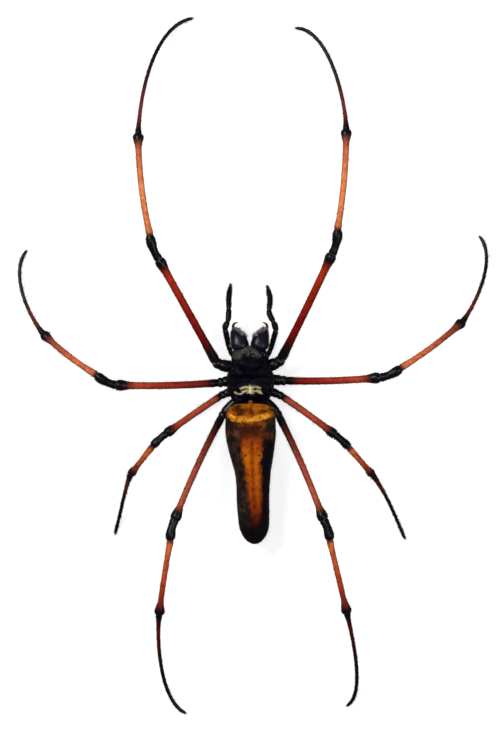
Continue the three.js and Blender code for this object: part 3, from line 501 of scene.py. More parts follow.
def grow_hairs(name, skin, count, seed, long, thick, lie, lean, unwrap, keep=None, fields=(), bend=0.5):
    """Hairs rooted all over a skin, as one mesh of slim three-sided spikes. lie gives the way they point along the
    skin, lean the angle from it in radians, long and thick their sizes in metres, each from the root's place.
    The map OFBake holds one small patch for each hair, at its root's place on the skin's unwrap."""
    rng = np.random.default_rng(seed)
    mesh, at = skin.data, coords(skin)
    corners = triangles(mesh, at)
    one, two, three = (at[corners[:, k]] for k in range(3))
    cross = np.cross(two - one, three - one)
    area = np.linalg.norm(cross, axis=1)
    picked = rng.choice(len(area), size=count, p=area / area.sum())
    a, b = rng.random(count), rng.random(count)
    flip = a + b > 1
    a[flip], b[flip] = 1 - a[flip], 1 - b[flip]
    weights = np.stack([1 - a - b, a, b], axis=1)
    root = (at[corners[picked]] * weights[:, :, None]).sum(axis=1)
    normal = cross[picked] / area[picked][:, None]
    chance, swing, bias = rng.random(count), rng.normal(size=(count, 3)), rng.random((count, 3))
    kept = chance < keep(root) if keep else np.ones(count, bool)
    root, normal, swing, bias, picked, weights = (x[kept] for x in (root, normal, swing, bias, picked, weights))
    count = len(root)
    length = long(root) * (0.7 + 0.6 * bias[:, 0])
    width = thick(root) * (0.8 + 0.4 * bias[:, 1])
    way = lie(root) + 0.22 * swing
    way -= (way * normal).sum(axis=1)[:, None] * normal
    way /= np.linalg.norm(way, axis=1)[:, None] + 1e-12
    rise = lean(root) * (0.75 + 0.5 * bias[:, 2])
    first = way * np.cos(rise)[:, None] + normal * np.sin(rise)[:, None]
    second = way * np.cos(bend * rise)[:, None] + normal * np.sin(bend * rise)[:, None]
    middle = root + first * (0.5 * length)[:, None]
    tip = middle + second * (0.5 * length)[:, None]
    root = root - normal * (0.6 * width)[:, None]
    side = np.cross(way, normal)
    other = np.cross(first, side)
    verts = np.empty((count, 7, 3))
    for k in range(3):
        angle = 2 * math.pi * k / 3
        spread = (side * math.cos(angle) + other * math.sin(angle)) * (0.5 * width)[:, None]
        verts[:, k] = root + spread
        verts[:, 3 + k] = middle + 0.62 * spread
    verts[:, 6] = tip
    quads = np.array([(k, (k + 1) % 3, 3 + (k + 1) % 3, 3 + k) for k in range(3)])
    tips = np.array([(3 + k, 3 + (k + 1) % 3, 6) for k in range(3)])
    base = (np.arange(count) * 7)[:, None]
    loops = np.concatenate([(base + quads.ravel()), (base + tips.ravel())], axis=1).ravel()
    starts = np.array([0, 4, 8, 12, 15, 18])
    hairs = bpy.data.meshes.new(name)
    hairs.vertices.add(count * 7)
    hairs.loops.add(len(loops))
    hairs.polygons.add(count * 6)
    hairs.vertices.foreach_set("co", verts.astype(np.float32).ravel())
    hairs.loops.foreach_set("vertex_index", loops.astype(np.int32))
    hairs.polygons.foreach_set("loop_start", ((np.arange(count) * 21)[:, None] + starts).astype(np.int32).ravel())
    hairs.update(calc_edges=True)
    u, v = unwrap(root)
    spot = np.array([(0, 0), (0.5, 0), (1, 0), (0, 0.5), (0.5, 0.5), (1, 0.5), (0.5, 1)]) * PATCH
    local = np.concatenate([quads.ravel(), tips.ravel()])
    patch = np.stack([np.clip(u, 0, 1 - PATCH), np.clip(v, 0, 1 - PATCH)], axis=1)[:, None, :] + spot[local][None]
    layer = hairs.uv_layers.new(name="OFBake")
    layer.data.foreach_set("uv", patch.astype(np.float32).ravel())
    obj = bpy.data.objects.new(name, hairs)
    bpy.context.scene.collection.objects.link(obj)
    for field in fields:
        read = np.empty(len(mesh.vertices), np.float32)
        mesh.attributes[field].data.foreach_get("value", read)
        value = (read[corners[picked]] * weights).sum(axis=1)
        paint(obj, field, np.repeat(value, 7))
    paint(obj, "tuft", np.repeat(rng.random(count), 7))
    return obj


PATCH = 0.003
SORT_WAY = np.array((0.5377, 0.7071, 0.4592))


def steady(value):
    """The same value at every root."""
    return lambda root: np.full(len(root), float(value))


# ------------------------------------------------------------------ materials


def tone(red, green, blue):
    """A colour as seen, 0 to 255, as the shader's own numbers."""
    return tuple((c / 255 / 12.92 if c / 255 <= 0.04045 else ((c / 255 + 0.055) / 1.055) ** 2.4)
                 for c in (red, green, blue)) + (1.0,)


def plug(tree, socket, value):
    """Links a socket to another one, or sets its value."""
    if isinstance(value, bpy.types.NodeSocket):
        tree.links.new(value, socket)
    else:
        socket.default_value = value


def node(tree, kind, inputs=None, **settings):
    """Adds a shader node with its settings and inputs."""
    made = tree.nodes.new("ShaderNode" + kind)
    for name, value in settings.items():
        setattr(made, name, value)
    for name, value in (inputs or {}).items():
        plug(tree, made.inputs[name], value)
    return made


def mix(tree, factor, one, other, blend="MIX"):
    """Mixes two colours."""
    made = node(tree, "Mix", data_type="RGBA", blend_type=blend)
    for index, value in ((0, factor), (6, one), (7, other)):
        plug(tree, made.inputs[index], value)
    return made.outputs[2]


def maths(tree, operation, one, other=0.0):
    """One sum on two values."""
    return node(tree, "Math", {0: one, 1: other}, operation=operation).outputs[0]


def ramp_up(tree, value, low, high, kind="SMOOTHSTEP"):
    """0 below low, 1 above high, smooth between."""
    return node(tree, "MapRange", {"Value": value, "From Min": low, "From Max": high},
                interpolation_type=kind).outputs[0]


def field(tree, name):
    """A value that the mesh carries."""
    return node(tree, "Attribute", attribute_name=name).outputs["Fac"]


def object_place(tree):
    """Object coordinates."""
    return node(tree, "TexCoord").outputs["Object"]


def fill_ramp(ramp, stops):
    """Gives a colour ramp its stops, each a place from 0 to 1 and a colour."""
    elements = ramp.color_ramp.elements
    elements[0].position, elements[0].color = stops[0]
    elements[1].position, elements[1].color = stops[-1]
    for where, colour in stops[1:-1]:
        elements.new(where).color = colour


def new_group(name, inputs, outputs):
    """An empty shader node group with named sockets: its tree, its input sockets and its output node."""
    tree = bpy.data.node_groups.new(name, "ShaderNodeTree")
    for label, kind, default in inputs:
        socket = tree.interface.new_socket(label, in_out="INPUT", socket_type="NodeSocket" + kind)
        socket.default_value = default
    for label, kind in outputs:
        tree.interface.new_socket(label, in_out="OUTPUT", socket_type="NodeSocket" + kind)
    return tree, tree.nodes.new("NodeGroupInput").outputs, tree.nodes.new("NodeGroupOutput").inputs


def use(tree, group, **inputs):
    """Places a node group in a tree."""
    made = tree.nodes.new("ShaderNodeGroup")
    made.node_tree = group
    for name, value in inputs.items():
        plug(tree, made.inputs[name.replace("_", " ")], value)
    return made.outputs


def horn_group():
    """Hard shell: a colour gets blotches, hair pits and a fine grain, with roughness and height to match."""
    tree, given, out = new_group(
        "hard_shell",
        (("Colour", "Color", (0.1, 0.1, 0.1, 1)), ("Blotch", "Float", 0.25), ("Pits", "Float", 0.5),
         ("Pit Scale", "Float", 1900.0), ("Rough", "Float", 0.35), ("Relief", "Float", 1.0)),
        (("Colour", "Color"), ("Roughness", "Float"), ("Height", "Float")),
    )
    spot = object_place(tree)
    broad = node(tree, "TexNoise", {"Vector": spot, "Scale": 900.0, "Detail": 3.0}).outputs["Fac"]
    fine = node(tree, "TexNoise", {"Vector": spot, "Scale": 7000.0, "Detail": 2.0}).outputs["Fac"]
    cells = node(tree, "TexVoronoi", {"Vector": spot, "Scale": given["Pit Scale"], "Randomness": 1.0})
    pit = maths(tree, "SUBTRACT", 1.0, ramp_up(tree, cells.outputs["Distance"], 0.1, 0.24))
    shade = maths(tree, "MULTIPLY", maths(tree, "SUBTRACT", broad, 0.5), given["Blotch"])
    shade = maths(tree, "MULTIPLY_ADD", shade, 4.0)
    shade.node.inputs[2].default_value = 1.0
    varied = mix(tree, 1.0, given["Colour"], node(tree, "CombineXYZ", {0: shade, 1: shade, 2: shade}).outputs[0],
                 "MULTIPLY")
    dark = mix(tree, 1.0, varied, (0.3, 0.22, 0.22, 1), "MULTIPLY")
    plug(tree, out["Colour"], mix(tree, maths(tree, "MULTIPLY", pit, given["Pits"]), varied, dark))
    rough = maths(tree, "MULTIPLY_ADD", maths(tree, "SUBTRACT", broad, 0.5), 0.35)
    plug(tree, rough.node.inputs[2], given["Rough"])
    plug(tree, out["Roughness"], rough)
    height = maths(tree, "SUBTRACT", maths(tree, "MULTIPLY", fine, 0.5), maths(tree, "MULTIPLY", pit, 0.5))
    plug(tree, out["Height"], maths(tree, "MULTIPLY", height, given["Relief"]))
    return tree


HINGE_RUN = 0.997
KNEE_RUN = 2.008
HINGE_SHARE = {1: 1.0, 2: 0.25, 3: 0.25, 4: 0.3}
KNEE_SHARE = {1: 0.8, 2: 0.25, 3: 0.3, 4: 0.3}


def ring_mask(tree, value, middle, near, far):
    """1 where a value is within near of the middle, 0 from far on."""
    gap = node(tree, "Math", {0: maths(tree, "SUBTRACT", value, middle)}, operation="ABSOLUTE").outputs[0]
    return maths(tree, "SUBTRACT", 1.0, ramp_up(tree, gap, near, far))


def leg_colour_group(pair, tones, shades):
    """The colours along each pair of legs, read from where each point is along and around the leg, with painted shade
    on the sides and underside.
    """
    tree, _, out = new_group(f"leg{pair}_colours", (), (("Colour", "Color"), ("Black", "Float")))
    run = maths(tree, "DIVIDE", field(tree, "run"), float(len(SEGMENTS)))
    ramp = node(tree, "ValToRGB", {"Fac": run})
    black = shades.shell
    femur, tibia, foot = tones["femur"], tones["tibia"], tones["foot"]

    def dusk(colour, share):
        return tuple((share * math.sqrt(c) + (1 - share) * math.sqrt(k)) ** 2 for c, k in zip(colour, black))

    stops = [
        (0.0, black), (1.1, black), (1.17, dusk(femur[0], 0.45)), (1.24, femur[0]), (1.5, femur[1]), (1.75, femur[2]),
        (1.8, dusk(femur[2], 0.6)), (1.85, dusk(femur[2], 0.2)), (1.9, black), (2.95, black),
        (3.0, dusk(tibia[0], 0.3)), (3.06, dusk(tibia[0], 0.6)), (3.15, tibia[0]), (3.5, tibia[1]), (3.74, tibia[2]),
        (3.8, dusk(tibia[2], 0.55)), (3.87, dusk(tibia[2], 0.15)), (3.92, black), (4.02, black),
        (4.07, dusk(foot[0], 0.5)), (4.14, foot[0]), (4.22, foot[0]), (4.38, foot[1]), (4.56, foot[2]), (5.0, foot[2]),
    ]
    fill_ramp(ramp, [(where / len(SEGMENTS), colour) for where, colour in stops])
    hinge = ring_mask(tree, field(tree, "run"), HINGE_RUN, 0.01, 0.032)
    hinge = maths(tree, "MULTIPLY", hinge, ramp_up(tree, field(tree, "outer"), 0.0, 0.7))
    gap = ring_mask(tree, field(tree, "run"), KNEE_RUN, 0.002, 0.014)
    soft = mix(tree, maths(tree, "MULTIPLY", hinge, HINGE_SHARE[pair]), ramp.outputs["Color"], shades.hinge)
    soft = mix(tree, maths(tree, "MULTIPLY", gap, KNEE_SHARE[pair]), soft, shades.membrane)
    # Painted shade: the sides and underside of the leg are darker and redder than its top.
    edge = ramp_up(tree, field(tree, "turn"), 0.15, 0.48)
    deep = mix(tree, 1.0, soft, (0.62, 0.4, 0.38, 1), "MULTIPLY")
    plug(tree, out["Colour"], mix(tree, edge, soft, deep))
    red = node(tree, "SeparateColor", {"Color": ramp.outputs["Color"]}).outputs["Red"]
    plug(tree, out["Black"], maths(tree, "SUBTRACT", 1.0, ramp_up(tree, red, 0.006, 0.05)))
    return tree


DULL = 0.1


def new_material(name):
    """An empty material: its tree and its surface shader."""
    material = bpy.data.materials.new(name)
    material.use_nodes = True
    tree = material.node_tree
    return material, tree, tree.nodes["Principled BSDF"]


def surface(tree, shader, colour, roughness, height=None, depth=0.00006, **plain):
    """Feeds a material's shader."""
    shader.inputs["Specular IOR Level"].default_value = DULL
    plug(tree, shader.inputs["Base Color"], colour)
    plug(tree, shader.inputs["Roughness"], roughness)
    if height is not None:
        bump = node(tree, "Bump", {"Height": height, "Distance": depth, "Strength": 1.0})
        plug(tree, shader.inputs["Normal"], bump.outputs["Normal"])
    for label, value in plain.items():
        shader.inputs[label.replace("_", " ")].default_value = value


def leg_materials(pair, finishes):
    """The shell and the hairs of one pair of legs."""
    material, tree, shader = new_material(f"leg{pair}_shell")
    along = use(tree, finishes[f"leg{pair}"])
    got = use(tree, finishes["horn"], Colour=along["Colour"], Blotch=0.35, Pits=0.55, Pit_Scale=2900.0, Rough=0.4,
              Relief=0.5)
    surface(tree, shader, got["Colour"], got["Roughness"], got["Height"], Coat_Roughness=0.22,
            Specular_IOR_Level=0.05)
    base = ramp_up(tree, field(tree, "run"), 1.3, 0.9)
    coat = node(tree, "Math", {0: base, 1: 0.14, 2: 0.18}, operation="MULTIPLY_ADD").outputs[0]
    plug(tree, shader.inputs["Coat Weight"], maths(tree, "MULTIPLY", along["Black"], coat))
    hair, tree, shader = new_material(f"leg{pair}_hairs")
    colour = use(tree, finishes[f"leg{pair}"])["Colour"]
    dark = mix(tree, 0.72, colour, (0.004, 0.003, 0.005, 1))
    surface(tree, shader, dark, 0.45, Specular_IOR_Level=0.04)
    return material, hair


def plain_shell(name, finishes, colour, rough=0.35, depth=0.00006, gloss=DULL, **group):
    """A shell material of one main colour."""
    material, tree, shader = new_material(name)
    got = use(tree, finishes["horn"], Colour=colour, Rough=rough, **group)
    surface(tree, shader, got["Colour"], got["Roughness"], got["Height"], depth, Specular_IOR_Level=gloss)
    return material


# ------------------------------------------------------------------ sizes and colours that a user may change


def length(label, text, default, most=0.01):
    """A length property."""
    return bpy.props.FloatProperty(name=label, description=text, default=default, min=0.0, max=most, precision=5,
                                   unit="LENGTH", subtype="DISTANCE")


def paintpot(label, text, red, green, blue):
    """A colour property."""
    return bpy.props.FloatVectorProperty(name=label, description=text, default=tone(red, green, blue), size=4,
                                         min=0.0, max=1.0, subtype="COLOR")


class WeaverSizes(bpy.types.PropertyGroup):
    """Sizes of the forms that the solids leave plain."""

    leg_hair: length("Leg hair", "Length of the short hairs on the legs", 0.00055)
    body_hair: length("Body hair", "Length of the hairs on head, jaws and abdomen", 0.0005)
    cream_hair: length("Cream hair", "Length of the pale hairs at the rear of the head shield", 0.00055)
    hair_width: length("Hair width", "Thickness of a hair at its root", 0.00004, 0.001)
    spine: length("Spine", "Length of the sparse spines on tibia and foot", 0.0012)
    claw: length("Claw", "Length of a claw at a leg's tip", 0.0006)
    band_rise: length("Band rise", "How far the gold band stands up from the abdomen", 0.0003)
    groove: length("Groove", "Depth of the head's grooves", 0.0004)
    leg_hairs: bpy.props.IntProperty(name="Hairs on a leg", description="Number of hairs on one leg", default=4800,
                                     min=0, max=20000)


class WeaverColours(bpy.types.PropertyGroup):
    """Colours of the parts."""

    shell: paintpot("Shell", "Head shield, coxae and the legs' black stretches", 8, 7, 12)
    shield: paintpot("Shield", "The head shield's blue-black middle", 3, 2, 14)
    membrane: paintpot("Membrane", "Soft skin between femur and patella", 74, 64, 62)
    hinge: paintpot("Hinge", "Soft skin at the femur's base", 124, 84, 52)
    jaw: paintpot("Jaw", "Blue-black chelicerae", 10, 11, 28)
    fang: paintpot("Fang", "Red-brown fangs", 96, 34, 22)
    gold: paintpot("Gold", "Band across the abdomen", 196, 126, 22)
    amber: paintpot("Amber", "Faint tinge on the abdomen's shoulders", 140, 68, 18)
    brown: paintpot("Brown", "The abdomen's front", 162, 86, 12)
    dark: paintpot("Dark", "The abdomen's flanks", 28, 19, 18)
    cream: paintpot("Cream", "Pale hairs at the rear of the head shield", 254, 244, 196)
    nub: paintpot("Nub", "The knob on the waist", 140, 66, 36)


class WeaverLegTones(bpy.types.PropertyGroup):
    """Colours along each pair of legs."""


for _pair, _tones in LEG_TONES.items():
    for _segment, _stops in _tones.items():
        for _place, _stop in zip(("base", "middle", "end"), _stops):
            WeaverLegTones.__annotations__[f"{_segment}_{_pair}_{_place}"] = paintpot(
                f"Leg {_pair} {_segment}, {_place}", f"Colour at the {_place} of this stretch", *_stop)


def finishes_of(scene):
    """The shared node groups and the materials, made once for the scene."""
    made = bpy.data.materials.get("leg1_shell")
    if made is None:
        shades = scene.weaver_colours
        groups = {"horn": horn_group()}
        for pair in LEG_PAIRS:
            tones = {segment: [tuple(getattr(scene.weaver_leg_tones, f"{segment}_{pair}_{place}"))
                               for place in ("base", "middle", "end")] for segment in LEG_TONES[pair]}
            groups[f"leg{pair}"] = leg_colour_group(pair, tones, shades)
        for pair in LEG_PAIRS:
            leg_materials(pair, groups)
        plain_shell("jaw_shell", groups, tuple(shades.jaw), rough=0.32, gloss=0.27, Pits=0.1, Blotch=0.3, Relief=0.2)
        plain_shell("black_shell", groups, tuple(shades.shell), rough=0.42, Pits=0.3, Blotch=0.3)
        plain_shell("fang_horn", groups, tuple(shades.fang), rough=0.2, gloss=0.5, Pits=0.0, Relief=0.2)
        plain_shell("claw_horn", groups, tone(20, 12, 10), rough=0.25, Pits=0.0, Relief=0.2)
        plain_shell("nub_skin", groups, tuple(shades.nub), rough=0.5, Pits=0.2)
        carapace_material(groups, shades)
        palp_material(groups, shades)
        abdomen_material(groups, shades)
        eye_material()
        hair_material("dark_hair", tone(9, 8, 13), 0.5)
        hair_material("grey_hair", tone(168, 166, 160), 0.12)
        hair_material("cream_hair", tuple(shades.cream), 0.85)
    return bpy.data.materials


def hair_material(name, colour, least):
    """Hairs of one colour, each of them darkened by chance down to a least share of it."""
    material, tree, shader = new_material(name)
    noise = node(tree, "TexNoise", {"Vector": object_place(tree), "Scale": 1500.0}).outputs["Fac"]
    dark = mix(tree, 1.0, colour, (least, 0.95 * least, 0.88 * least, 1), "MULTIPLY")
    share = ramp_up(tree, maths(tree, "ADD", field(tree, "tuft"), noise), 0.6, 1.4)
    surface(tree, shader, mix(tree, share, dark, colour), 0.5, Specular_IOR_Level=0.03)
    return material


def palp_material(groups, shades):
    """Black feelers with tan soft skin at the joints and a red-brown tip."""
    material, tree, shader = new_material("palp_shell")
    run = field(tree, "run")
    noise = node(tree, "TexNoise", {"Vector": object_place(tree), "Scale": 1700.0}).outputs["Fac"]
    colour = mix(tree, ramp_up(tree, run, 4.75, 5.0), tuple(shades.shell), tone(84, 36, 26))
    for joint in (1.0, 2.0, 3.0, 4.0):
        ring = maths(tree, "MULTIPLY", ring_mask(tree, run, joint, 0.01, 0.07), ramp_up(tree, noise, 0.45, 0.7))
        colour = mix(tree, maths(tree, "MULTIPLY", ring, 0.6), colour, shades.hinge)
    got = use(tree, groups["horn"], Colour=colour, Rough=0.42, Pits=0.3, Blotch=0.3, Pit_Scale=3200.0)
    surface(tree, shader, got["Colour"], got["Roughness"], got["Height"], Specular_IOR_Level=0.06,
            Coat_Weight=0.08, Coat_Roughness=0.2)
    return material


def eye_material():
    """A black, wet-looking lens with a faint brown depth."""
    material, tree, shader = new_material("eye_lens")
    noise = node(tree, "TexNoise", {"Vector": object_place(tree), "Scale": 2500.0}).outputs["Fac"]
    colour = mix(tree, noise, tone(6, 6, 10), tone(26, 18, 16))
    surface(tree, shader, colour, maths(tree, "MULTIPLY_ADD", noise, 0.06), Coat_Weight=1.0, Coat_Roughness=0.03)
    return material


def carapace_material(groups, shades):
    """Black head shield: brown flanks, grey fine hair and a painted sheen in front, the cream patch behind."""
    material, tree, shader = new_material("carapace_shell")
    black = tuple(shades.shield)
    noise = node(tree, "TexNoise", {"Vector": object_place(tree), "Scale": 1400.0, "Detail": 4.0}).outputs["Fac"]
    flank = mix(tree, ramp_up(tree, noise, 0.45, 0.7), black, tone(24, 15, 17))
    colour = mix(tree, field(tree, "flank"), black, flank)
    # Painted sheen: grey over the head's front and a painted glint at its front-left corner, partly fine grey hair.
    colour = mix(tree, maths(tree, "MULTIPLY", field(tree, "bloom"), ramp_up(tree, noise, 0.25, 0.7)), colour,
                 tone(94, 92, 88))
    cream = field(tree, "cream")
    under = mix(tree, ramp_up(tree, cream, 0.35, 0.85), tone(84, 66, 40), tuple(shades.cream))
    colour = mix(tree, ramp_up(tree, cream, 0.1, 0.6), colour, under)
    got = use(tree, groups["horn"], Colour=colour, Rough=0.45, Pits=0.35, Blotch=0.25, Pit_Scale=3200.0, Relief=0.6)
    surface(tree, shader, got["Colour"], got["Roughness"], got["Height"], 0.00006, Specular_IOR_Level=0.05)
    return material


def abdomen_material(groups, shades):
    """Leathery skin: brown front, gold band, amber stripe, and dark flanks mottled with olive; painted shade darkens
    the right flank, the rear and the front's side edges.
    """
    material, tree, shader = new_material("abdomen_skin")
    spot = object_place(tree)
    along = node(tree, "SeparateXYZ", {"Vector": spot}).outputs["Y"]
    broad = node(tree, "TexNoise", {"Vector": spot, "Scale": 520.0, "Detail": 5.0, "Roughness": 0.62}).outputs["Fac"]
    ragged = node(tree, "TexNoise", {"Vector": spot, "Scale": 1100.0, "Detail": 4.0}).outputs["Fac"]
    specks = node(tree, "TexNoise", {"Vector": spot, "Scale": 2800.0, "Detail": 3.0}).outputs["Fac"]
    warp = maths(tree, "MULTIPLY", maths(tree, "SUBTRACT", ragged, 0.5), 2.4)

    def near(name, low, high, share=1.0):
        return ramp_up(tree, maths(tree, "ADD", field(tree, name), maths(tree, "MULTIPLY", warp, share)), low, high)

    dark = tuple(shades.dark)
    flank = mix(tree, ramp_up(tree, broad, 0.44, 0.66), dark, tone(64, 48, 34))
    # Painted shade: the flank colour is made darker on the right side and at the rear.
    flank = mix(tree, field(tree, "shade"), flank, tone(14, 9, 14))
    tones = node(tree, "ValToRGB", {"Fac": ramp_up(tree, along, (STRIPE_TONES[0][0] + BODY_SHIFT[1]) * MM,
                                                   (STRIPE_TONES[-1][0] + BODY_SHIFT[1]) * MM, "LINEAR")})
    fill_ramp(tones, [((y - STRIPE_TONES[0][0]) / (STRIPE_TONES[-1][0] - STRIPE_TONES[0][0]), tone(*stop))
                      for y, stop in STRIPE_TONES])
    worn = mix(tree, 1.0, tones.outputs["Color"], (0.5, 0.3, 0.24, 1), "MULTIPLY")
    rough_edge = maths(tree, "SUBTRACT", 1.0, near("inside", 0.1, 1.0, 0.5))
    worn_share = maths(tree, "MAXIMUM", maths(tree, "MULTIPLY", rough_edge, 0.85),
                       maths(tree, "MULTIPLY", field(tree, "middle"), ramp_up(tree, ragged, 0.1, 0.55)))
    worn_share = maths(tree, "MAXIMUM", worn_share, maths(tree, "MULTIPLY", ramp_up(tree, broad, 0.48, 0.68), 0.8))
    stripe = mix(tree, worn_share, tones.outputs["Color"], worn)
    colour = mix(tree, near("inside", -0.3, 0.35, 0.7), flank, stripe)
    colour = mix(tree, maths(tree, "MULTIPLY", field(tree, "tinge"), ramp_up(tree, ragged, 0.3, 0.6)), colour,
                 tuple(shades.amber))
    front = mix(tree, ramp_up(tree, broad, 0.38, 0.6), tone(80, 32, 3), tuple(shades.brown))
    # Darker brown mottles; at the front's side edges these strokes are painted shade.
    front = mix(tree, maths(tree, "MULTIPLY", field(tree, "mottle"), ramp_up(tree, ragged, 0.25, 0.55)), front,
                tone(50, 18, 2))
    rim = ramp_up(tree, along, (ABDOMEN_FRONT - 0.55 + BODY_SHIFT[1]) * MM, (ABDOMEN_FRONT - 0.1) * MM)
    rim = maths(tree, "MULTIPLY", rim, ramp_up(tree, ragged, 0.3, 0.6))
    front = mix(tree, maths(tree, "MULTIPLY", rim, 0.6), front, tone(190, 116, 30))
    colour = mix(tree, near("band", 0.35, 0.8, 0.4), colour, front)
    gold = mix(tree, ramp_up(tree, ragged, 0.38, 0.58), tone(150, 74, 8), tuple(shades.gold))
    gold = mix(tree, maths(tree, "MULTIPLY", field(tree, "pale"), ramp_up(tree, ragged, 0.35, 0.55)), gold,
               tone(224, 164, 56))
    band = maths(tree, "SUBTRACT", near("band", -1.0, -0.45, 0.55), near("band", 0.5, 0.95, 0.35))
    colour = mix(tree, band, colour, gold)
    # Painted shade: the front's side edges darkened.
    corner = mix(tree, 1.0, colour, (0.4, 0.26, 0.25, 1), "MULTIPLY")
    colour = mix(tree, field(tree, "corner"), colour, corner)
    # Low on the sides the markings give way to the flank colour; near the front this reaches higher, which darkens the
    # front's sides as painted shade.
    colour = mix(tree, ramp_up(tree, field(tree, "low"), 0.0, 1.4), colour, flank)
    colour = mix(tree, maths(tree, "MULTIPLY", field(tree, "belly"), ramp_up(tree, ragged, 0.3, 0.55)), colour,
                 tone(138, 100, 52))
    plan = node(tree, "VectorMath", {0: spot, 1: (1.0, 1.0, 0.0)}, operation="MULTIPLY").outputs[0]
    for dimple in DIMPLES:
        at = tuple(model((*dimple, 0.0)))
        far = node(tree, "VectorMath", {0: plan, 1: at}, operation="DISTANCE").outputs["Value"]
        colour = mix(tree, ramp_up(tree, far, DIMPLE_HALF * MM, 0.5 * DIMPLE_HALF * MM), colour, tone(12, 7, 6))
    got = use(tree, groups["horn"], Colour=colour, Rough=0.55, Pits=0.25, Blotch=0.35, Pit_Scale=2600.0)
    wrinkle = maths(tree, "MULTIPLY_ADD", specks, 0.8)
    plug(tree, wrinkle.node.inputs[2], got["Height"])
    surface(tree, shader, got["Colour"], got["Roughness"], wrinkle, 0.0001, Specular_IOR_Level=0.04)
    return material


# ------------------------------------------------------------------ legs


def leg_spans(stance, lead):
    """The path of one leg, a span for each segment."""
    hip, base, knee, shin, ankle = (np.array(joint, float) for joint in stance["joints"])
    tip = np.array((*stance["tip"], FOOT_TIP_Z))

    def bowed(start, end, bow, arch):
        way = end - start
        left = np.array((-way[1], way[0], 0)) / math.hypot(way[0], way[1])
        return (start + end) / 2 + 2 * bow * left + 2 * arch * UP

    femur_control = bowed(base, knee, stance["bows"][0], FEMUR_ARCH)
    coxa_way = femur_control - base
    spans = [quad_span(hip, base - lead * coxa_way / np.linalg.norm(coxa_way), base),
             quad_span(base, femur_control, knee),
             quad_span(knee, bowed(knee, shin, stance["bows"][1], 0), shin),
             quad_span(shin, bowed(shin, ankle, stance["bows"][2], TIBIA_ARCH), ankle)]
    away, home = (np.array((math.cos(math.radians(a)), math.sin(math.radians(a)), 0)) for a in stance["headings"])
    leaving = ankle + stance["reaches"][0] * away
    leaving[2] = FOOT_TIP_Z + FOOT_LEVEL[0] * (ankle[2] - FOOT_TIP_Z)
    landing = tip - stance["reaches"][1] * home
    landing[2] = FOOT_TIP_Z + FOOT_LEVEL[1] * (ankle[2] - FOOT_TIP_Z)
    spans.append([ankle, leaving, landing, tip])
    return spans


def leg_rings(size, lengths):
    """The rings of one straight leg."""
    starts = np.concatenate(([0], np.cumsum(lengths)))
    wide, tall = [], []
    for segment, form in enumerate(LEG_FORM):
        for share, past, key, width, height in form:
            where = starts[segment] + share * lengths[segment] + past
            wide.append((where, width * size[key]))
            tall.append((where, height * size[key]))
    places = [wide[0][0]]
    for (where, _) in wide[1:]:
        steps = max(1, round((where - places[-1]) / RING_STEP))
        places.extend(np.linspace(places[-1], where, steps + 1)[1:])
    width, height = smooth(wide), smooth(tall)
    return [(float(x), 0.0, 0.0, float(width(x)), float(height(x)), float(height(x))) for x in places]


def run_of(x, lengths, collars):
    """How far along a leg each place is, in segments: black base up to 0.2 and black end from 0.8 in each."""
    starts = np.concatenate(([0], np.cumsum(lengths)))
    pairs = []
    for segment, length_ in enumerate(lengths):
        base, end = {1: collars[:2], 3: (0.9, collars[2])}.get(segment, (0.2 * length_, 0.2 * length_))
        pairs += [(starts[segment], segment), (starts[segment] + base, segment + 0.2),
                  (starts[segment + 1] - end, segment + 0.8)]
    pairs.append((starts[-1], len(lengths)))
    xs, ys = zip(*pairs)
    return np.interp(x, xs, ys)


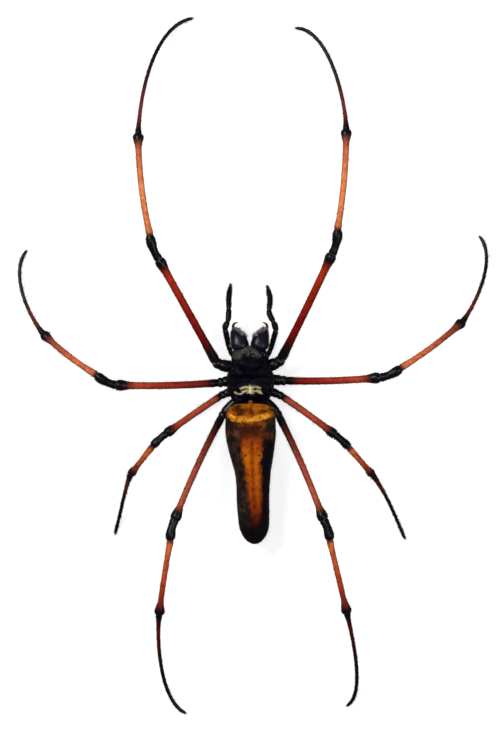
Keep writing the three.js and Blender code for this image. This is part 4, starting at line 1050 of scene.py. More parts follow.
def build_leg(name, finishes, sizes):
    """One leg: its skin from coxa to tip, its hairs and its claws."""
    pair = int(name[3])
    size, stance = LEG_PAIRS[pair], LEGS[name]
    spans = leg_spans(stance, size["lead"])
    lengths = [span_length(span) for span in spans]
    whole = sum(lengths)
    rings = leg_rings(size, lengths)
    skin = loft(f"{name}_skin", rings, 20)
    at = coords(skin)
    paint(skin, "run", run_of(at[:, 0] / MM, lengths, COLLARS[pair]))
    paint(skin, "turn", abs(np.arctan2(at[:, 1], at[:, 2])) / math.pi)
    outward = -math.copysign(1, stance["tip"][0])
    paint(skin, "outer", outward * at[:, 1] / (np.hypot(at[:, 1], at[:, 2]) + 1e-9))
    starts = np.cumsum(lengths)
    count = sizes.leg_hairs // 1
    along = np.array((1.0, 0, 0))

    def unwrap(root):
        return np.arctan2(root[:, 1], root[:, 2]) / (2 * math.pi) + 0.5, root[:, 0] / MM / whole

    def density(root):
        x = root[:, 0] / MM
        return np.interp(x, (0, 1.5, starts[0], starts[1], starts[3], starts[3] + 4, whole),
                         (0.0, 0.3, 0.4, 0.5, 0.6, 1, 1))

    hairs = grow_hairs(
        f"{name}_hairs", skin, count, 100 * pair + len(name), steady(sizes.leg_hair), steady(sizes.hair_width),
        lambda root: np.tile(along, (len(root), 1)), steady(0.6), unwrap, density, ("run", "turn", "outer"))
    spines = grow_hairs(
        f"{name}_spines", skin, 60, 7 + pair, steady(sizes.spine), steady(2.2 * sizes.hair_width),
        lambda root: np.tile(along, (len(root), 1)), steady(0.85), unwrap,
        lambda root: (root[:, 0] / MM > starts[0] + 4) * 0.8, ("run", "turn", "outer"))
    hairs = join([hairs, spines])
    lay([skin, hairs], spans)
    choose(skin)
    bpy.ops.object.mode_set(mode="EDIT")
    bpy.ops.mesh.select_all(action="SELECT")
    bpy.ops.mesh.bisect(plane_co=(0, 0, 0), plane_no=(0, 0, 1), use_fill=True, clear_inner=True,
                        threshold=1e-7)
    bpy.ops.object.mode_set(mode="OBJECT")
    at = coords(hairs)
    at[:, 2] = np.maximum(at[:, 2], 0.00001)
    put(hairs, at)
    settle(skin, [finishes[f"leg{pair}_shell"]], [f"{name}_{segment}" for segment in SEGMENTS])
    settle(hairs, [finishes[f"leg{pair}_hairs"]])
    claws = []
    home = math.radians(stance["headings"][1])
    ahead, left = np.array((math.cos(home), math.sin(home), 0)), np.array((-math.sin(home), math.cos(home), 0))
    tip = np.array((*stance["tip"], 0.0))
    reach = sizes.claw / MM
    for side in (-1, 1):
        claw = loft(f"{name}_claws", [(x * reach * 1.1, 0, 0, r, r, r) for x, r in
                                      ((0, 0.07), (0.2, 0.075), (0.5, 0.06), (0.75, 0.04), (0.95, 0.02), (1, 0.006))], 8)
        points = [tip - 0.12 * ahead + side * 0.08 * left + 0.36 * UP,
                  tip + 0.35 * reach * ahead + side * 0.16 * left + 0.42 * UP,
                  tip + 0.75 * reach * ahead + side * 0.2 * left + 0.3 * UP,
                  tip + 0.9 * reach * ahead + side * 0.19 * left + 0.1 * UP]
        lay([claw], through(points))
        claws.append(claw)
    settle(join(claws), [finishes["claw_horn"]])


# ------------------------------------------------------------------ head and thorax


def grown(value, start, end, square=2.0):
    """A rise from 0 at start to 1 at end, a quarter round, or squarer."""
    return np.maximum(0, 1 - (1 - np.clip((value - start) / (end - start), 0, 1)) ** square) ** (1 / square)


def carapace_section(y):
    """Half width and top of the head shield at a place along it."""
    rounding = grown(y, CARAPACE_REAR, CARAPACE_REAR + 1.6) * grown(-y, -CARAPACE_FRONT, -CARAPACE_FRONT + 0.9)
    half = smooth(CARAPACE_HALF)(y) * (0.72 + 0.28 * rounding) * np.minimum(1, rounding * 4)
    share = np.minimum(1, rounding * 1.2)
    top = (CARAPACE_MARGIN_Z + 0.9) * (1 - share) + smooth(CARAPACE_TOP)(y) * share
    return float(half), float(top)


def body_loft(name, ys, section, sides, square):
    """A body part grown along -Y: section gives its half width, top, bottom, margin height and middle."""
    rings = []
    for y in ys:
        half, top, bottom, margin, middle = section(y)
        rings.append((ys[0] - y, middle, margin, max(half, 0.02), max(top - margin, 0.02), max(margin - bottom, 0.02)))
    obj = loft(name, rings, sides, square)
    place(obj, model((0, ys[0], 0)), (0, 0, -math.pi / 2))
    return obj


def spaced(front, rear, count):
    """Places from front to rear, closer together at both ends."""
    return [front + (rear - front) * (1 - math.cos(math.pi * k / count)) / 2 for k in range(count + 1)]


def strokes(x, y, lines):
    """How strongly strokes of a brush cover each place: each stroke has a width, a strength and its points."""
    cover = np.zeros(np.shape(x))
    for width, strength, points in lines:
        for (ax, ay), (bx, by) in zip(points, points[1:]):
            dx, dy = bx - ax, by - ay
            t = np.clip(((x - ax) * dx + (y - ay) * dy) / (dx * dx + dy * dy), 0, 1)
            far = np.hypot(x - ax - t * dx, y - ay - t * dy) / width
            cover = np.maximum(cover, strength * np.exp(-far * far))
    return cover


def carapace_marks(obj):
    """Stores the head shield's markings and its painted sheen."""
    x, y, z = (coords(obj) / MM - BODY_SHIFT).T
    top = np.clip((z - 7.4) / 1.0, 0, 1)
    paint(obj, "cream", strokes(x, y, CREAM_STROKES) * top)
    paint(obj, "bloom", strokes(x, y, GREY_HAIR_AND_SHEEN_STROKES))
    paint(obj, "flank", np.clip((abs(x) - 2.2) / 1.6, 0, 1))


def build_carapace(finishes, sizes):
    """The head shield with its grooves, pits and low horns."""

    def section(y):
        half, top = carapace_section(y)
        return half, top, CARAPACE_UNDER_Z, CARAPACE_MARGIN_Z, HEAD_TURN * max(0.0, y + 1.0) / (CARAPACE_FRONT + 1.0)

    shield = body_loft("carapace_shield", spaced(CARAPACE_FRONT, CARAPACE_REAR, 56), section, 56, 2.25)
    deep = sizes.groove / MM

    def on_top(places):
        return [model((x, y, surface_height(shield, x, y))) for x, y in places]

    for side in SIDES.values():
        line = [(side * t * 4.2, FOVEA_Y + 0.95 * t * 4.2) for t in np.linspace(0.08, 1, 16)]
        push(shield, on_top(line), (0, 0, -1.1 * deep * MM), 1.1 * MM)
        for angle, far in ((172, 4.4), (200, 4.4), (228, 3.9)):
            way = (math.cos(math.radians(angle)) * -side, math.sin(math.radians(angle)))
            line = [(way[0] * t, FOVEA_Y + way[1] * t) for t in np.linspace(1.2, far, 8)]
            push(shield, on_top(line), (0, 0, -0.6 * deep * MM), 0.6 * MM)
        push(shield, on_top([(side * HORNS[0], HORNS[1])]), (0, -0.1 * MM, 0.6 * MM), 0.65 * MM, "SHARP")
        push(shield, on_top([(side * 2.2, 0.6)]), (0, 0, 0.25 * MM), 2.0 * MM)
    push(shield, on_top([(0, FOVEA_Y - t) for t in (0, 0.35, 0.7)]), (0, 0, -1.4 * deep * MM), 0.9 * MM)
    push(shield, [model((0, 3.6, z)) for z in (7.0, 7.7, 8.4)], (0, 0.9 * MM, -0.1 * MM), 2.3 * MM)
    push(shield, [model((x, CARAPACE_REAR, 6.6)) for x in np.linspace(-3.8, 3.8, 15)], (0, -0.4 * MM, 0), 1.7 * MM)
    push(shield, on_top([(0, t) for t in (2.6, 3.2, 3.8)]), (0, 0, 0.22 * MM), 0.7 * MM)
    apply(shield, "SUBSURF", levels=1, render_levels=1)
    carapace_marks(shield)
    settle(shield, [finishes["carapace_shell"]], ["carapace"])
    return shield


def surface_height(obj, x, y):
    """Height of a piece's upper side over a place, in body millimetres."""
    far = model((x, y, 60))
    hit, where, _, _ = obj.ray_cast(Vector(far), Vector((0, 0, -1)))
    if not hit:
        raise RuntimeError(f"{obj.name} has nothing at {x:.2f}, {y:.2f}")
    return where.z / MM


def build_eyes(finishes, shield):
    """Eight domed eyes, each on a low rim, turned the way the head's surface faces."""
    form = ((0, 1.25), (0.15, 1.34), (0.3, 1.3), (0.42, 1.12), (0.46, 1.0), (0.62, 0.98), (0.85, 0.86), (1.05, 0.66),
            (1.2, 0.4), (1.27, 0.16), (1.28, 0.03))
    pattern = loft("eye", [(x, 0, 0, r, r, r) for x, r in form], 20)
    for name, (x, y, half) in EYES.items():
        for side_name, side in SIDES.items():
            top = Vector(model((side * x, y, 60)))
            hit, where, normal, _ = shield.ray_cast(top, Vector((0, 0, -1)))
            if not hit:
                raise RuntimeError(f"{name} misses the head")
            eye = pattern.copy()
            eye.data = pattern.data.copy()
            eye.name = eye.data.name = f"{name}_{side_name}_lens"
            bpy.context.scene.collection.objects.link(eye)
            spin = normal.to_track_quat("X", "Z").to_euler()
            place(eye, where - normal * 0.35 * half * MM, spin, half)
            settle(eye, [finishes["eye_lens"]], [f"{name}_{side_name}"])
    bpy.data.objects.remove(pattern)


def build_underside(finishes, sizes):
    """Sternum plate, lip and jaw lobes."""
    half = smooth(STERNUM_HALF)

    def section(y):
        shrink = float(grown(y, -8.6, -7.3) * grown(-y, -1.2, -0.1))
        return float(half(y)) * shrink, 5.2, 3.7, 4.65, 0

    plate = body_loft("sternum_plate", spaced(0.9, -8.3, 28), section, 32, 3)
    for y in (-1.2, -3.2, -5.2, -7.0):
        for side in SIDES.values():
            push(plate, [model((side * float(half(y)) * 0.72, y, 3.7))], (0, 0, -0.22 * MM), 0.8 * MM)
    pieces = [plate]
    lobes = (("lip", (0, 1.6, 4.3), 0.75, 0.95, 0.62), ("lobe", (-1.45, 1.8, 4.45), 0.8, 1.35, 0.7),
             ("lobe", (1.45, 1.8, 4.45), 0.8, 1.35, 0.7))
    for name, (x, y, z), wide, long, tall in lobes:
        rings = [(long * (1 - math.cos(a)), 0, 0, max(0.03, wide * math.sin(a) ** 0.8), max(0.03, tall * math.sin(a)),
                  max(0.03, tall * math.sin(a) * 0.8)) for a in np.linspace(0.05, math.pi - 0.05, 14)]
        lobe = loft(name, rings, 20)
        place(lobe, model((x, y + long, z)), (0, 0, -math.pi / 2))
        pieces.append(lobe)
    plate = join(pieces)
    apply(plate, "SUBSURF", levels=1, render_levels=1)

    def unwrap(root):
        x, y, z = (root / MM - BODY_SHIFT).T
        return np.arctan2(x, 4.6 - z) / (2 * math.pi) + 0.5, (y + 8.6) / 13.0

    hairs = grow_hairs(
        "sternum_hairs", plate, 3200, 91, steady(sizes.body_hair), steady(sizes.hair_width),
        lambda root: np.tile((0, 1.0, -0.2), (len(root), 1)), steady(0.6), unwrap,
        lambda root: (root[:, 2] / MM < 4.6) * 0.8)
    settle(plate, [finishes["black_shell"]], ["sternum"])
    settle(hairs, [finishes["grey_hair"]])


def build_jaws(finishes, sizes):
    """Two chelicerae with their teeth and hair fringe, and two fangs."""
    for name, side in SIDES.items():
        spans = [quad_span(*(np.array((side * x + CHELICERA_SHIFT[name], y, z)) for x, y, z in CHELICERA_PATH))]
        long = span_length(spans[0])
        inner, outer = smooth(CHELICERA_INNER), smooth(CHELICERA_OUTER)
        inward = side
        shares = np.concatenate((np.linspace(0, 0.12, 7), np.linspace(0.12, 0.88, 28)[1:],
                                 np.linspace(0.88, 1, 9)[1:]))
        rings = []
        for s in shares:
            half = float(inner(s) + outer(s)) / 2 * CHELICERA_HALF
            shift = float(inner(s) - outer(s)) / 2 * CHELICERA_HALF * inward
            tall = float(outer(s)) * CHELICERA_HALF * CHELICERA_TALL
            rings.append((float(s) * long, shift, 0.0, half, tall, tall * 0.94))
        jaw = loft(f"chelicera_{name}_shell", rings, 36, 2.2)
        push(jaw, [(0.22 * long * MM, -inward * 1.95 * MM, 0.3 * MM)], (0, -inward * 0.16 * MM, 0.08 * MM), 1.1 * MM)
        for start in (0.5, 0.58, 0.66, 0.74, 0.82):
            edge = float(inner(start)) * CHELICERA_HALF * 0.94
            push(jaw, [(start * long * MM, inward * edge * MM, -0.3 * MM)], (0, inward * 0.1 * MM, 0), 0.3 * MM)
        at = coords(jaw)
        paint(jaw, "run", at[:, 0] / MM / long)
        teeth = []
        for k in range(5):
            share = 0.56 + 0.08 * k
            tooth = loft("tooth", [(0, 0, 0, 0.16, 0.16, 0.16), (0.15, 0, 0, 0.14, 0.14, 0.14),
                                   (0.32, 0.03, 0, 0.06, 0.06, 0.06), (0.4, 0.05, 0, 0.01, 0.01, 0.01)], 8)
            reach = float(inner(share)) * CHELICERA_HALF * 0.93
            place(tooth, (share * long * MM, inward * reach * MM, -0.25 * MM), (0, 0, inward * 1.2))
            teeth.append(tooth)
        jaw = join([jaw, *teeth])
        unwrap = lambda root: (np.arctan2(root[:, 1], root[:, 2]) / (2 * math.pi) + 0.5, root[:, 0] / MM / long)
        count = 2600
        hairs = grow_hairs(
            f"chelicera_{name}_hairs", jaw, count, 31 + side, steady(0.8 * sizes.body_hair),
            steady(0.8 * sizes.hair_width), lambda root: np.tile((1.0, 0, 0), (len(root), 1)), steady(0.5), unwrap,
            lambda root: np.clip(0.12 + 0.9 * (root[:, 1] * inward / MM / 2) + (root[:, 0] / MM < 1.4), 0.05, 1))

        def rim_share(root, inner=inner, outer=outer, long=long, inward=inward):
            share, across = root[:, 0] / MM / long, root[:, 1] * inward / MM / CHELICERA_HALF
            within = np.clip((across - inner(share) + 0.7) / 0.6, 0, 0.75) * (share > 0.48)
            without = np.clip((-across - outer(share) + 0.12) / 0.12, 0, 0.35) * (share > 0.12) * (share < 0.9)
            return np.maximum(within, without)

        fringe = grow_hairs(
            f"chelicera_{name}_fringe", jaw, 6500, 51 + side, lambda root: sizes.body_hair
            * (1.3 + 0.8 * np.sin(root[:, 0] * 9000 + side)) * np.where(root[:, 1] * inward > 0, 1, 0.6),
            steady(1.35 * sizes.hair_width),
            lambda root: np.stack([0.9 + 0 * root[:, 0], 0.7 * np.sign(root[:, 1]), 0 * root[:, 0]], axis=1),
            steady(0.6), unwrap, rim_share)
        tufts = grow_hairs(
            f"chelicera_{name}_tufts", jaw, 1500, 57 + side, lambda root: sizes.body_hair
            * (1.5 + 0.7 * np.sin(root[:, 0] * 7000 + 2 * side)), steady(2.4 * sizes.hair_width),
            lambda root: np.tile((0.75, inward * 0.8, 0), (len(root), 1)), steady(0.45), unwrap,
            lambda root: 0.6 * rim_share(root) * (root[:, 1] * inward > 0))
        fringe = join([fringe, tufts])
        lay([jaw, hairs, fringe], spans)
        settle(jaw, [finishes["jaw_shell"]], [f"chelicera_{name}"])
        settle(hairs, [finishes["dark_hair"]])
        settle(fringe, [finishes["grey_hair"]])
        spans = through([(side * x + 0.5 * CHELICERA_SHIFT[name], y, z) for x, y, z in FANG_PATH])
        long = sum(span_length(span) for span in spans)
        form_f = ((0, 0.3), (0.03, 0.38), (0.1, 0.42), (0.3, 0.36), (0.55, 0.27), (0.8, 0.16), (0.93, 0.08), (1, 0.015))
        half = smooth(form_f)
        fang = loft(f"fang_{name}_horn", [(float(s * long), 0.0, 0.0, float(half(s)), float(half(s)), float(half(s)))
                                          for s in np.linspace(0, 1, 24)], 16)
        lay([fang], spans)
        settle(fang, [finishes["fang_horn"]], [f"fang_{name}"])


def build_palps(finishes, sizes):
    """Two feelers: trochanter, femur, patella, tibia and a hairy tarsus."""
    for name, places in PALP_PATHS.items():
        spans = through(places)
        long = sum(span_length(span) for span in spans)
        elbow, wrist = 0.44 * long, 0.66 * long
        form = ((0, 0.5), (0.2, 0.86), (1.1, 0.98), (1.7, 0.92), (1.9, 0.78), (2.1, 0.88), (2.7, 0.96),
                (elbow - 1.9, 1.04), (elbow - 1.25, 0.98), (elbow - 1.05, 0.82), (elbow - 0.85, 0.98), (elbow, 1.18),
                (elbow + 0.75, 1.0), (elbow + 1.0, 0.78), (elbow + 1.25, 0.94), (elbow + 2.0, 1.06),
                (wrist - 0.7, 1.06), (wrist - 0.25, 0.94), (wrist - 0.05, 0.78), (wrist + 0.15, 0.9),
                (wrist + 0.8, 1.02), (long - 2.6, 0.98), (long - 1.2, 0.76), (long - 0.3, 0.42), (long - 0.05, 0.2),
                (long, 0.04))
        half = smooth(form)
        xs = np.unique(np.concatenate([np.linspace(0, long, 60), [x for x, _ in form]]))
        palp = loft(f"palp_{name}_skin", [(float(x), 0.0, 0.0) + (float(half(x)) * PALP_HALF,) * 3 for x in xs], 20)
        paint(palp, "run", np.interp(coords(palp)[:, 0] / MM, (0, 1.9, elbow - 1.05, elbow + 1.0, wrist - 0.05, long),
                                     (0, 1, 2, 3, 4, 5)))
        unwrap = lambda root: (np.arctan2(root[:, 1], root[:, 2]) / (2 * math.pi) + 0.5, root[:, 0] / MM / long)
        hairs = grow_hairs(
            f"palp_{name}_hairs", palp, 1500, 61, steady(1.1 * sizes.leg_hair),
            steady(sizes.hair_width), lambda root: np.tile((1.0, 0, 0), (len(root), 1)), steady(0.6), unwrap,
            lambda root: np.interp(root[:, 0] / MM, (0, 2, wrist, wrist + 1), (0, 0.35, 0.5, 1)))
        lay([palp, hairs], spans)
        settle(palp, [finishes["palp_shell"]], [f"palp_{name}"])
        settle(hairs, [finishes["dark_hair"]])


# ------------------------------------------------------------------ abdomen


def band_y(x):
    """The gold band's middle line across the abdomen's front."""
    return smooth(((-5.4, -11.0), (-4.9, -11.5), (-4.2, -12.2), (-3.2, -12.6), (-1.9, -12.45), (0.3, -12.75),
                   (1.5, -12.25), (3.0, -11.8), (4.4, -11.6), (5.4, -11.0)))(x)


def abdomen_marks(obj):
    """Stores the abdomen's markings and its painted shade, most of them as millimetres from a line."""
    x, y, z = (coords(obj) / MM - BODY_SHIFT).T
    left = smooth(((-38.0, 0.2), (-35.6, -0.2), (-32.8, -0.25), (-29.9, -0.6), (-27, -0.97), (-24.1, -1.3),
                   (-21.3, -2.0), (-18.4, -2.28), (-16.5, -2.35), (-15, -2.6), (-13, -3.2)))(y)
    right = smooth(((-38.6, 1.5), (-37.0, 1.95), (-34.2, 2.5), (-31.3, 2.62), (-28.5, 2.62), (-25.5, 2.6),
                    (-22.7, 2.35), (-21, 2.75), (-18.4, 2.9), (-16.5, 2.95), (-15, 3.05), (-13, 3.4)))(y)
    # Height below the markings' lower edge; the edge rises towards the front, which darkens the front's sides as
    # painted shade.
    below = np.clip((np.interp(y, (-20, -14), (9.0, 10.3)) - z) / 1.5, 0, 3)
    # Painted shade: the right side behind the front, and the rear, darker.
    shade = np.clip((x + 0.6) / 1.6, 0, 1) * np.clip((-15.0 - y) / 2.5, 0, 1)
    for name, value in (
        ("band", y - band_y(x)),
        ("inside", np.minimum(x - left, right - x) - 3 * np.clip((8.6 - z) / 2, 0, 2)),
        ("low", below),
        ("shade", np.maximum(shade, np.clip((-33 - y) / 5, 0, 1))),
        ("pale", strokes(x, y, PALE_STROKES)),
        ("mottle", strokes(x, y, MOTTLE_AND_EDGE_SHADE_STROKES)),
        ("tinge", strokes(x, y, TINGE_STROKES)),
        ("middle", strokes(x, y, (MIDLINE,))),
        ("corner", strokes(x, y, SIDE_EDGE_SHADE_STROKES)),
        ("belly", strokes(x, y, BELLY_STROKES) * np.clip((5.6 - z) / 0.8, 0, 1)),
    ):
        paint(obj, name, value)


def abdomen_section(y):
    """Half width, top, bottom, margin and middle of the abdomen at a place along it."""
    start = float(grown(-y, -ABDOMEN_FRONT, -ABDOMEN_FRONT + 3.4))
    full = float(grown(-y, -ABDOMEN_FRONT, -ABDOMEN_FRONT + 3.4, 3.6))
    end = float(grown(y, ABDOMEN_REAR, ABDOMEN_REAR + 5.0))
    top, bottom = float(smooth(ABDOMEN_TOP)(y)), float(smooth(ABDOMEN_BOTTOM)(y))
    margin = (top + bottom) / 2
    shrink = start * end
    return (float(smooth(ABDOMEN_HALF)(y)) * full * end, margin + (top - margin) * shrink,
            margin - (margin - bottom) * shrink, margin, float(smooth(ABDOMEN_MIDDLE)(y)))


def build_abdomen(finishes, sizes):
    """The abdomen with its raised band, dimples, lung covers and short hairs."""
    bag = body_loft("abdomen_skin", spaced(ABDOMEN_FRONT, ABDOMEN_REAR, 72), abdomen_section, 56, 2.2)
    line = [(x, band_y(x)) for x in np.linspace(-4.9, 4.9, 24)]
    rise = sizes.band_rise
    push(bag, [model((x, y, surface_height(bag, x, y))) for x, y in line], (0, 0, rise), 1.0 * MM)
    line = [(x, band_y(x) + 1.5) for x in np.linspace(-3.4, 3.4, 14)]
    push(bag, [model((x, y, surface_height(bag, x, y))) for x, y in line], (0, 0, -0.8 * rise), 1.3 * MM)
    for x, y in ((-1.15, -20.8), (1.95, -20.8), (-1.3, -16.6), (1.75, -16.6), (-0.5, -26.5), (1.7, -26.5)):
        push(bag, [model((x, y, surface_height(bag, x, y)))], (0, 0, -0.22 * MM), 0.7 * MM)
    for side in SIDES.values():
        push(bag, [model((side * 2.9, -13.6 - t, 4.9)) for t in (0, 0.7, 1.4)], (0, 0, -0.35 * MM), 1.6 * MM)
    push(bag, [model((x, -16.4, 3.6)) for x in np.linspace(-3.4, 3.4, 12)], (0, 0, 0.4 * MM), 0.8 * MM)
    push(bag, [model((0.1, -15.4, 3.9))], (0, 0, -0.45 * MM), 1.2 * MM)
    apply(bag, "SUBSURF", levels=1, render_levels=1)
    abdomen_marks(bag)

    def unwrap(root):
        x, y, z = (root / MM - BODY_SHIFT).T
        return np.arctan2(x, z - 7.5) / (2 * math.pi) + 0.5, (y - ABDOMEN_REAR) / (ABDOMEN_FRONT - ABDOMEN_REAR)

    hairs = grow_hairs(
        "abdomen_hairs", bag, 9000, 71, steady(0.9 * sizes.body_hair),
        steady(0.75 * sizes.hair_width), lambda root: np.tile((0, -1.0, -0.1), (len(root), 1)), steady(0.35), unwrap,
        fields=("band", "inside", "low", "shade", "pale", "mottle", "tinge", "middle", "corner",
                "belly"))
    settle(bag, [finishes["abdomen_skin"]], ["abdomen"])
    settle(hairs, [finishes["abdomen_skin"]])


def build_rear(finishes):
    """Waist with its knob, and the six spinnerets below the abdomen's rear."""
    form = ((0, 0.7), (0.3, 0.85), (0.9, 0.8), (1.35, 0.72), (1.7, 0.84), (2.3, 0.8), (2.7, 0.6))
    half = smooth(form)
    waist = loft("waist_skin", [(float(x), 0.0, 0.0) + (float(half(x)),) * 3 for x in np.linspace(0, 2.7, 18)], 20)
    lay([waist], through([(0, -7.5, 6.9), (0, -8.8, 7.2), (0, -10.1, 7.5)]))
    settle(waist, [finishes["black_shell"]], ["waist"])
    knob_form = ((0, 0.08), (0.08, 0.34), (0.3, 0.5), (0.7, 0.48), (1.0, 0.32), (1.15, 0.08))
    knob_half = smooth(knob_form)
    knob = loft("waist_knob", [(float(x), 0.0, 0.0) + (float(knob_half(x)),) * 3 for x in np.linspace(0, 1.15, 14)], 18)
    place(knob, model((0, -8.1, 7.95)), (0, 0.25, -math.pi / 2))
    settle(knob, [finishes["nub_skin"]])
    middle = float(smooth(ABDOMEN_MIDDLE)(SPINNERET_Y))
    pieces = []
    mound = [(1.45 * (1 - math.cos(a)), 0, 0, max(0.04, 1.35 * math.sin(a)), max(0.04, 0.8 * math.sin(a)),
              max(0.04, 0.8 * math.sin(a))) for a in np.linspace(0.05, math.pi - 0.05, 16)]
    pieces.append(loft("spinnerets_skin", mound, 24))
    place(pieces[0], model((middle, SPINNERET_Y + 1.45, SPINNERET_Z)), (0, 0, -math.pi / 2))
    for y, x, wide, long in ((0.75, 0.75, 0.5, 1.3), (-0.05, 0.4, 0.3, 0.9), (-0.85, 0.7, 0.42, 1.2)):
        for side in SIDES.values():
            rings = [(0, 1.0), (0.35, 1.02), (0.42, 0.9), (0.5, 0.92), (0.75, 0.8), (0.82, 0.66), (0.95, 0.5), (1, 0.1)]
            cone = loft("cone", [(s * long * 1.15, 0, 0) + (r * wide,) * 3 for s, r in rings], 14)
            lean = Vector((side * 0.1, -0.35, -long)).to_track_quat("X", "Z").to_euler()
            place(cone, model((middle + side * 0.7 * x, SPINNERET_Y + y, SPINNERET_Z - 0.15)), lean)
            pieces.append(cone)
    tubercle = loft("tubercle", [(0, 0, 0, 0.45, 0.35, 0.35), (0.35, 0, 0, 0.42, 0.33, 0.33),
                                 (0.6, 0, 0, 0.26, 0.2, 0.2), (0.68, 0, 0, 0.04, 0.04, 0.04)], 14)
    place(tubercle, model((middle, SPINNERET_Y - 1.45, SPINNERET_Z)), Vector((0, -1, -0.6)).to_track_quat("X", "Z").to_euler())
    pieces.append(tubercle)
    spinners = join(pieces)
    settle(spinners, [finishes["black_shell"]], ["spinnerets"])


def build_head_hair(finishes, sizes, shield):
    """Short dark hairs over the head shield, grey ones in front, and the cream patch behind."""

    def unwrap(root):
        x, y, z = (root / MM - BODY_SHIFT).T
        return np.arctan2(x, z - 5.8) / (2 * math.pi) + 0.5, (y - CARAPACE_REAR) / (CARAPACE_FRONT - CARAPACE_REAR)

    def outward(root):
        x, y, _ = (root / MM - BODY_SHIFT).T
        way = np.stack([x, y - FOVEA_Y, 0 * x], axis=1)
        return way / (np.linalg.norm(way, axis=1)[:, None] + 0.3)

    def upper(root):
        return np.clip((root[:, 2] / MM - 6.6) / 0.5, 0, 1)

    share = 1.0
    dark = grow_hairs(
        "carapace_hairs", shield, int(7000 * share), 81, steady(0.8 * sizes.body_hair), steady(0.8 * sizes.hair_width),
        outward, steady(0.45), unwrap, lambda root: upper(root))
    settle(dark, [finishes["dark_hair"]])

    # Grey hairs follow the same strokes as the painted sheen, so some stand on the painted glint at the front-left
    # corner.
    def grey_share(root):
        x, y, _ = (root / MM - BODY_SHIFT).T
        rim = 0.1 * np.clip((np.hypot(x / 5.2, (y + 3.4) / 5.0) - 0.72) / 0.2, 0, 1)
        return upper(root) * np.maximum(strokes(x, y, GREY_HAIR_AND_SHEEN_STROKES), rim)

    grey = grow_hairs(
        "carapace_grey_hairs", shield, int(7000 * share), 82, steady(0.9 * sizes.body_hair), steady(0.8 * sizes.hair_width),
        outward, steady(0.3), unwrap, grey_share)
    settle(grey, [finishes["grey_hair"]])

    def cream_share(root):
        x, y, _ = (root / MM - BODY_SHIFT).T
        return upper(root) * strokes(x, y, CREAM_STROKES)

    def fan(root):
        x, y, _ = (root / MM - BODY_SHIFT).T
        return np.stack([x, 0.5 * (y + 6.6), 0 * x], axis=1) / np.hypot(x, 0.5 * (y + 6.6))[:, None]

    cream = grow_hairs(
        "carapace_cream_hairs", shield, 60000, 83, steady(sizes.cream_hair),
        steady(1.1 * sizes.hair_width), fan, steady(0.35), unwrap, cream_share)
    settle(cream, [finishes["cream_hair"]])


# ------------------------------------------------------------------ stage


def floor_material():
    """A pale matt floor."""
    material, tree, shader = new_material("floor_paper")
    noise = node(tree, "TexNoise", {"Vector": object_place(tree), "Scale": 6.0}).outputs["Fac"]
    colour = mix(tree, noise, tone(176, 176, 175), tone(180, 180, 180))
    surface(tree, shader, colour, 0.9, Specular_IOR_Level=0.0, Emission_Color=(1, 1, 1, 1))
    seen = node(tree, "LightPath").outputs["Is Camera Ray"]
    plug(tree, shader.inputs["Emission Strength"], maths(tree, "MULTIPLY", seen, FLOOR_GLOW))
    return material


def soft_light(name, at, size, power):
    """A square lamp that looks at the model."""
    lamp = bpy.data.lights.new(name, "AREA")
    lamp.shape, lamp.size, lamp.energy = "SQUARE", size, power
    obj = bpy.data.objects.new(name, lamp)
    obj.location = at
    obj.rotation_euler = (-Vector(at)).to_track_quat("-Z", "Y").to_euler()
    obj.visible_camera = False
    bpy.context.scene.collection.objects.link(obj)
    return obj


class WEAVER_OT_stage(bpy.types.Operator):
    """Pale floor, soft light, and the camera straight above the animal"""

    bl_idname = "weaver.stage"
    bl_label = "Stage"

    def execute(self, context):
        clear()
        bpy.ops.mesh.primitive_plane_add(size=4.0)
        floor = context.object
        floor.name = "floor"
        floor.data.materials.append(floor_material())
        world = bpy.data.worlds.new("studio")
        context.scene.world = world
        world.use_nodes = True
        tree = world.node_tree
        seen = node(tree, "LightPath").outputs["Is Camera Ray"]
        back = tree.nodes["Background"]
        back.inputs["Color"].default_value = (1.0, 1.0, 1.0, 1)
        plug(tree, back.inputs["Strength"], ramp_up(tree, seen, 0.0, 1.0, "LINEAR"))
        seen = back.inputs["Strength"].links[0].from_node
        seen.inputs["To Min"].default_value, seen.inputs["To Max"].default_value = ROOM_GLOW, 1.0
        for name, (at, size, power) in LAMPS.items():
            soft_light(name, at, size, power)
        lens = bpy.data.cameras.new("above")
        lens.lens, lens.sensor_width = 800.0, 36.0
        lens.clip_end = 10.0
        camera = bpy.data.objects.new("above", lens)
        far = PICTURE_LENGTH / 2 / (lens.sensor_width / 2 / lens.lens)
        camera.location = (PICTURE_MIDDLE[0], PICTURE_MIDDLE[1], far * MM + 0.007)
        context.scene.collection.objects.link(camera)
        context.scene.camera = camera
        context.scene.view_settings.view_transform = "Standard"
        return {"FINISHED"}


ROOM_GLOW = 0.12
FLOOR_GLOW = 0.7
LAMPS = {
    "key": ((-0.5, 0.42, 0.8), 0.4, 8.6),
    "fill": ((0.55, -0.1, 0.75), 0.4, 3.4),
    "top": ((-0.05, 0.1, 1.1), 0.14, 1.9),
}
PICTURE_LENGTH = 167.9
PICTURE_MIDDLE = (-0.000715, 0.0002)


class WEAVER_OT_legs(bpy.types.Operator):
    """Eight legs, each one skin from coxa to tip, with hairs and claws"""

    bl_idname = "weaver.legs"
    bl_label = "Legs"

    def execute(self, context):
        finishes = finishes_of(context.scene)
        for name in LEGS:
            build_leg(name, finishes, context.scene.weaver_sizes)
        return {"FINISHED"}


class WEAVER_OT_head(bpy.types.Operator):
    """Head shield, eyes, underside and the head's hair"""

    bl_idname = "weaver.head"
    bl_label = "Head"

    def execute(self, context):
        finishes = finishes_of(context.scene)
        shield = build_carapace(finishes, context.scene.weaver_sizes)
        build_eyes(finishes, shield)
        build_head_hair(finishes, context.scene.weaver_sizes, shield)
        build_underside(finishes, context.scene.weaver_sizes)
        return {"FINISHED"}


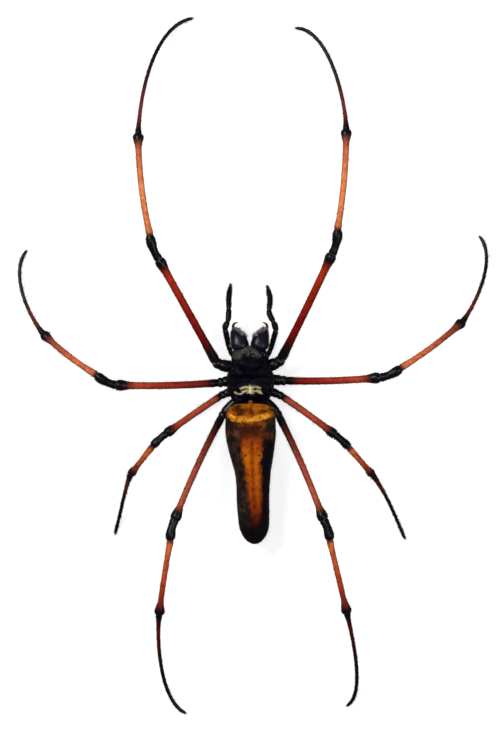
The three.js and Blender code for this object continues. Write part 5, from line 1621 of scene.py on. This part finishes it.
class WEAVER_OT_jaws(bpy.types.Operator):
    """Chelicerae, fangs and feelers"""

    bl_idname = "weaver.jaws"
    bl_label = "Jaws and feelers"

    def execute(self, context):
        finishes = finishes_of(context.scene)
        build_jaws(finishes, context.scene.weaver_sizes)
        build_palps(finishes, context.scene.weaver_sizes)
        return {"FINISHED"}


class WEAVER_OT_abdomen(bpy.types.Operator):
    """Abdomen, waist and spinnerets"""

    bl_idname = "weaver.abdomen"
    bl_label = "Abdomen"

    def execute(self, context):
        finishes = finishes_of(context.scene)
        build_abdomen(finishes, context.scene.weaver_sizes)
        build_rear(finishes)
        return {"FINISHED"}


OPERATORS = (WEAVER_OT_stage, WEAVER_OT_legs, WEAVER_OT_head, WEAVER_OT_jaws, WEAVER_OT_abdomen)
GROUPS = (WeaverSizes, WeaverColours, WeaverLegTones)


class WEAVER_PT_panel(bpy.types.Panel):
    """The weaver's parts, sizes and colours"""

    bl_label = "Golden silk orb weaver"
    bl_space_type = "VIEW_3D"
    bl_region_type = "UI"
    bl_category = "Weaver"

    def draw(self, context):
        for operator in OPERATORS:
            self.layout.operator(operator.bl_idname)
        for group in (context.scene.weaver_sizes, context.scene.weaver_colours, context.scene.weaver_leg_tones):
            for name in group.__annotations__:
                self.layout.prop(group, name)


CLASSES = (*GROUPS, *OPERATORS, WEAVER_PT_panel)


def register():
    for cls in CLASSES:
        bpy.utils.register_class(cls)
    bpy.types.Scene.weaver_sizes = bpy.props.PointerProperty(type=WeaverSizes)
    bpy.types.Scene.weaver_colours = bpy.props.PointerProperty(type=WeaverColours)
    bpy.types.Scene.weaver_leg_tones = bpy.props.PointerProperty(type=WeaverLegTones)


def unregister():
    del bpy.types.Scene.weaver_sizes, bpy.types.Scene.weaver_colours, bpy.types.Scene.weaver_leg_tones
    for cls in reversed(CLASSES):
        bpy.utils.unregister_class(cls)


def main():
    """Builds the whole scene."""
    register()
    bpy.ops.weaver.stage()
    bpy.ops.weaver.legs()
    bpy.ops.weaver.head()
    bpy.ops.weaver.jaws()
    bpy.ops.weaver.abdomen()


if __name__ == "__main__":
    main()
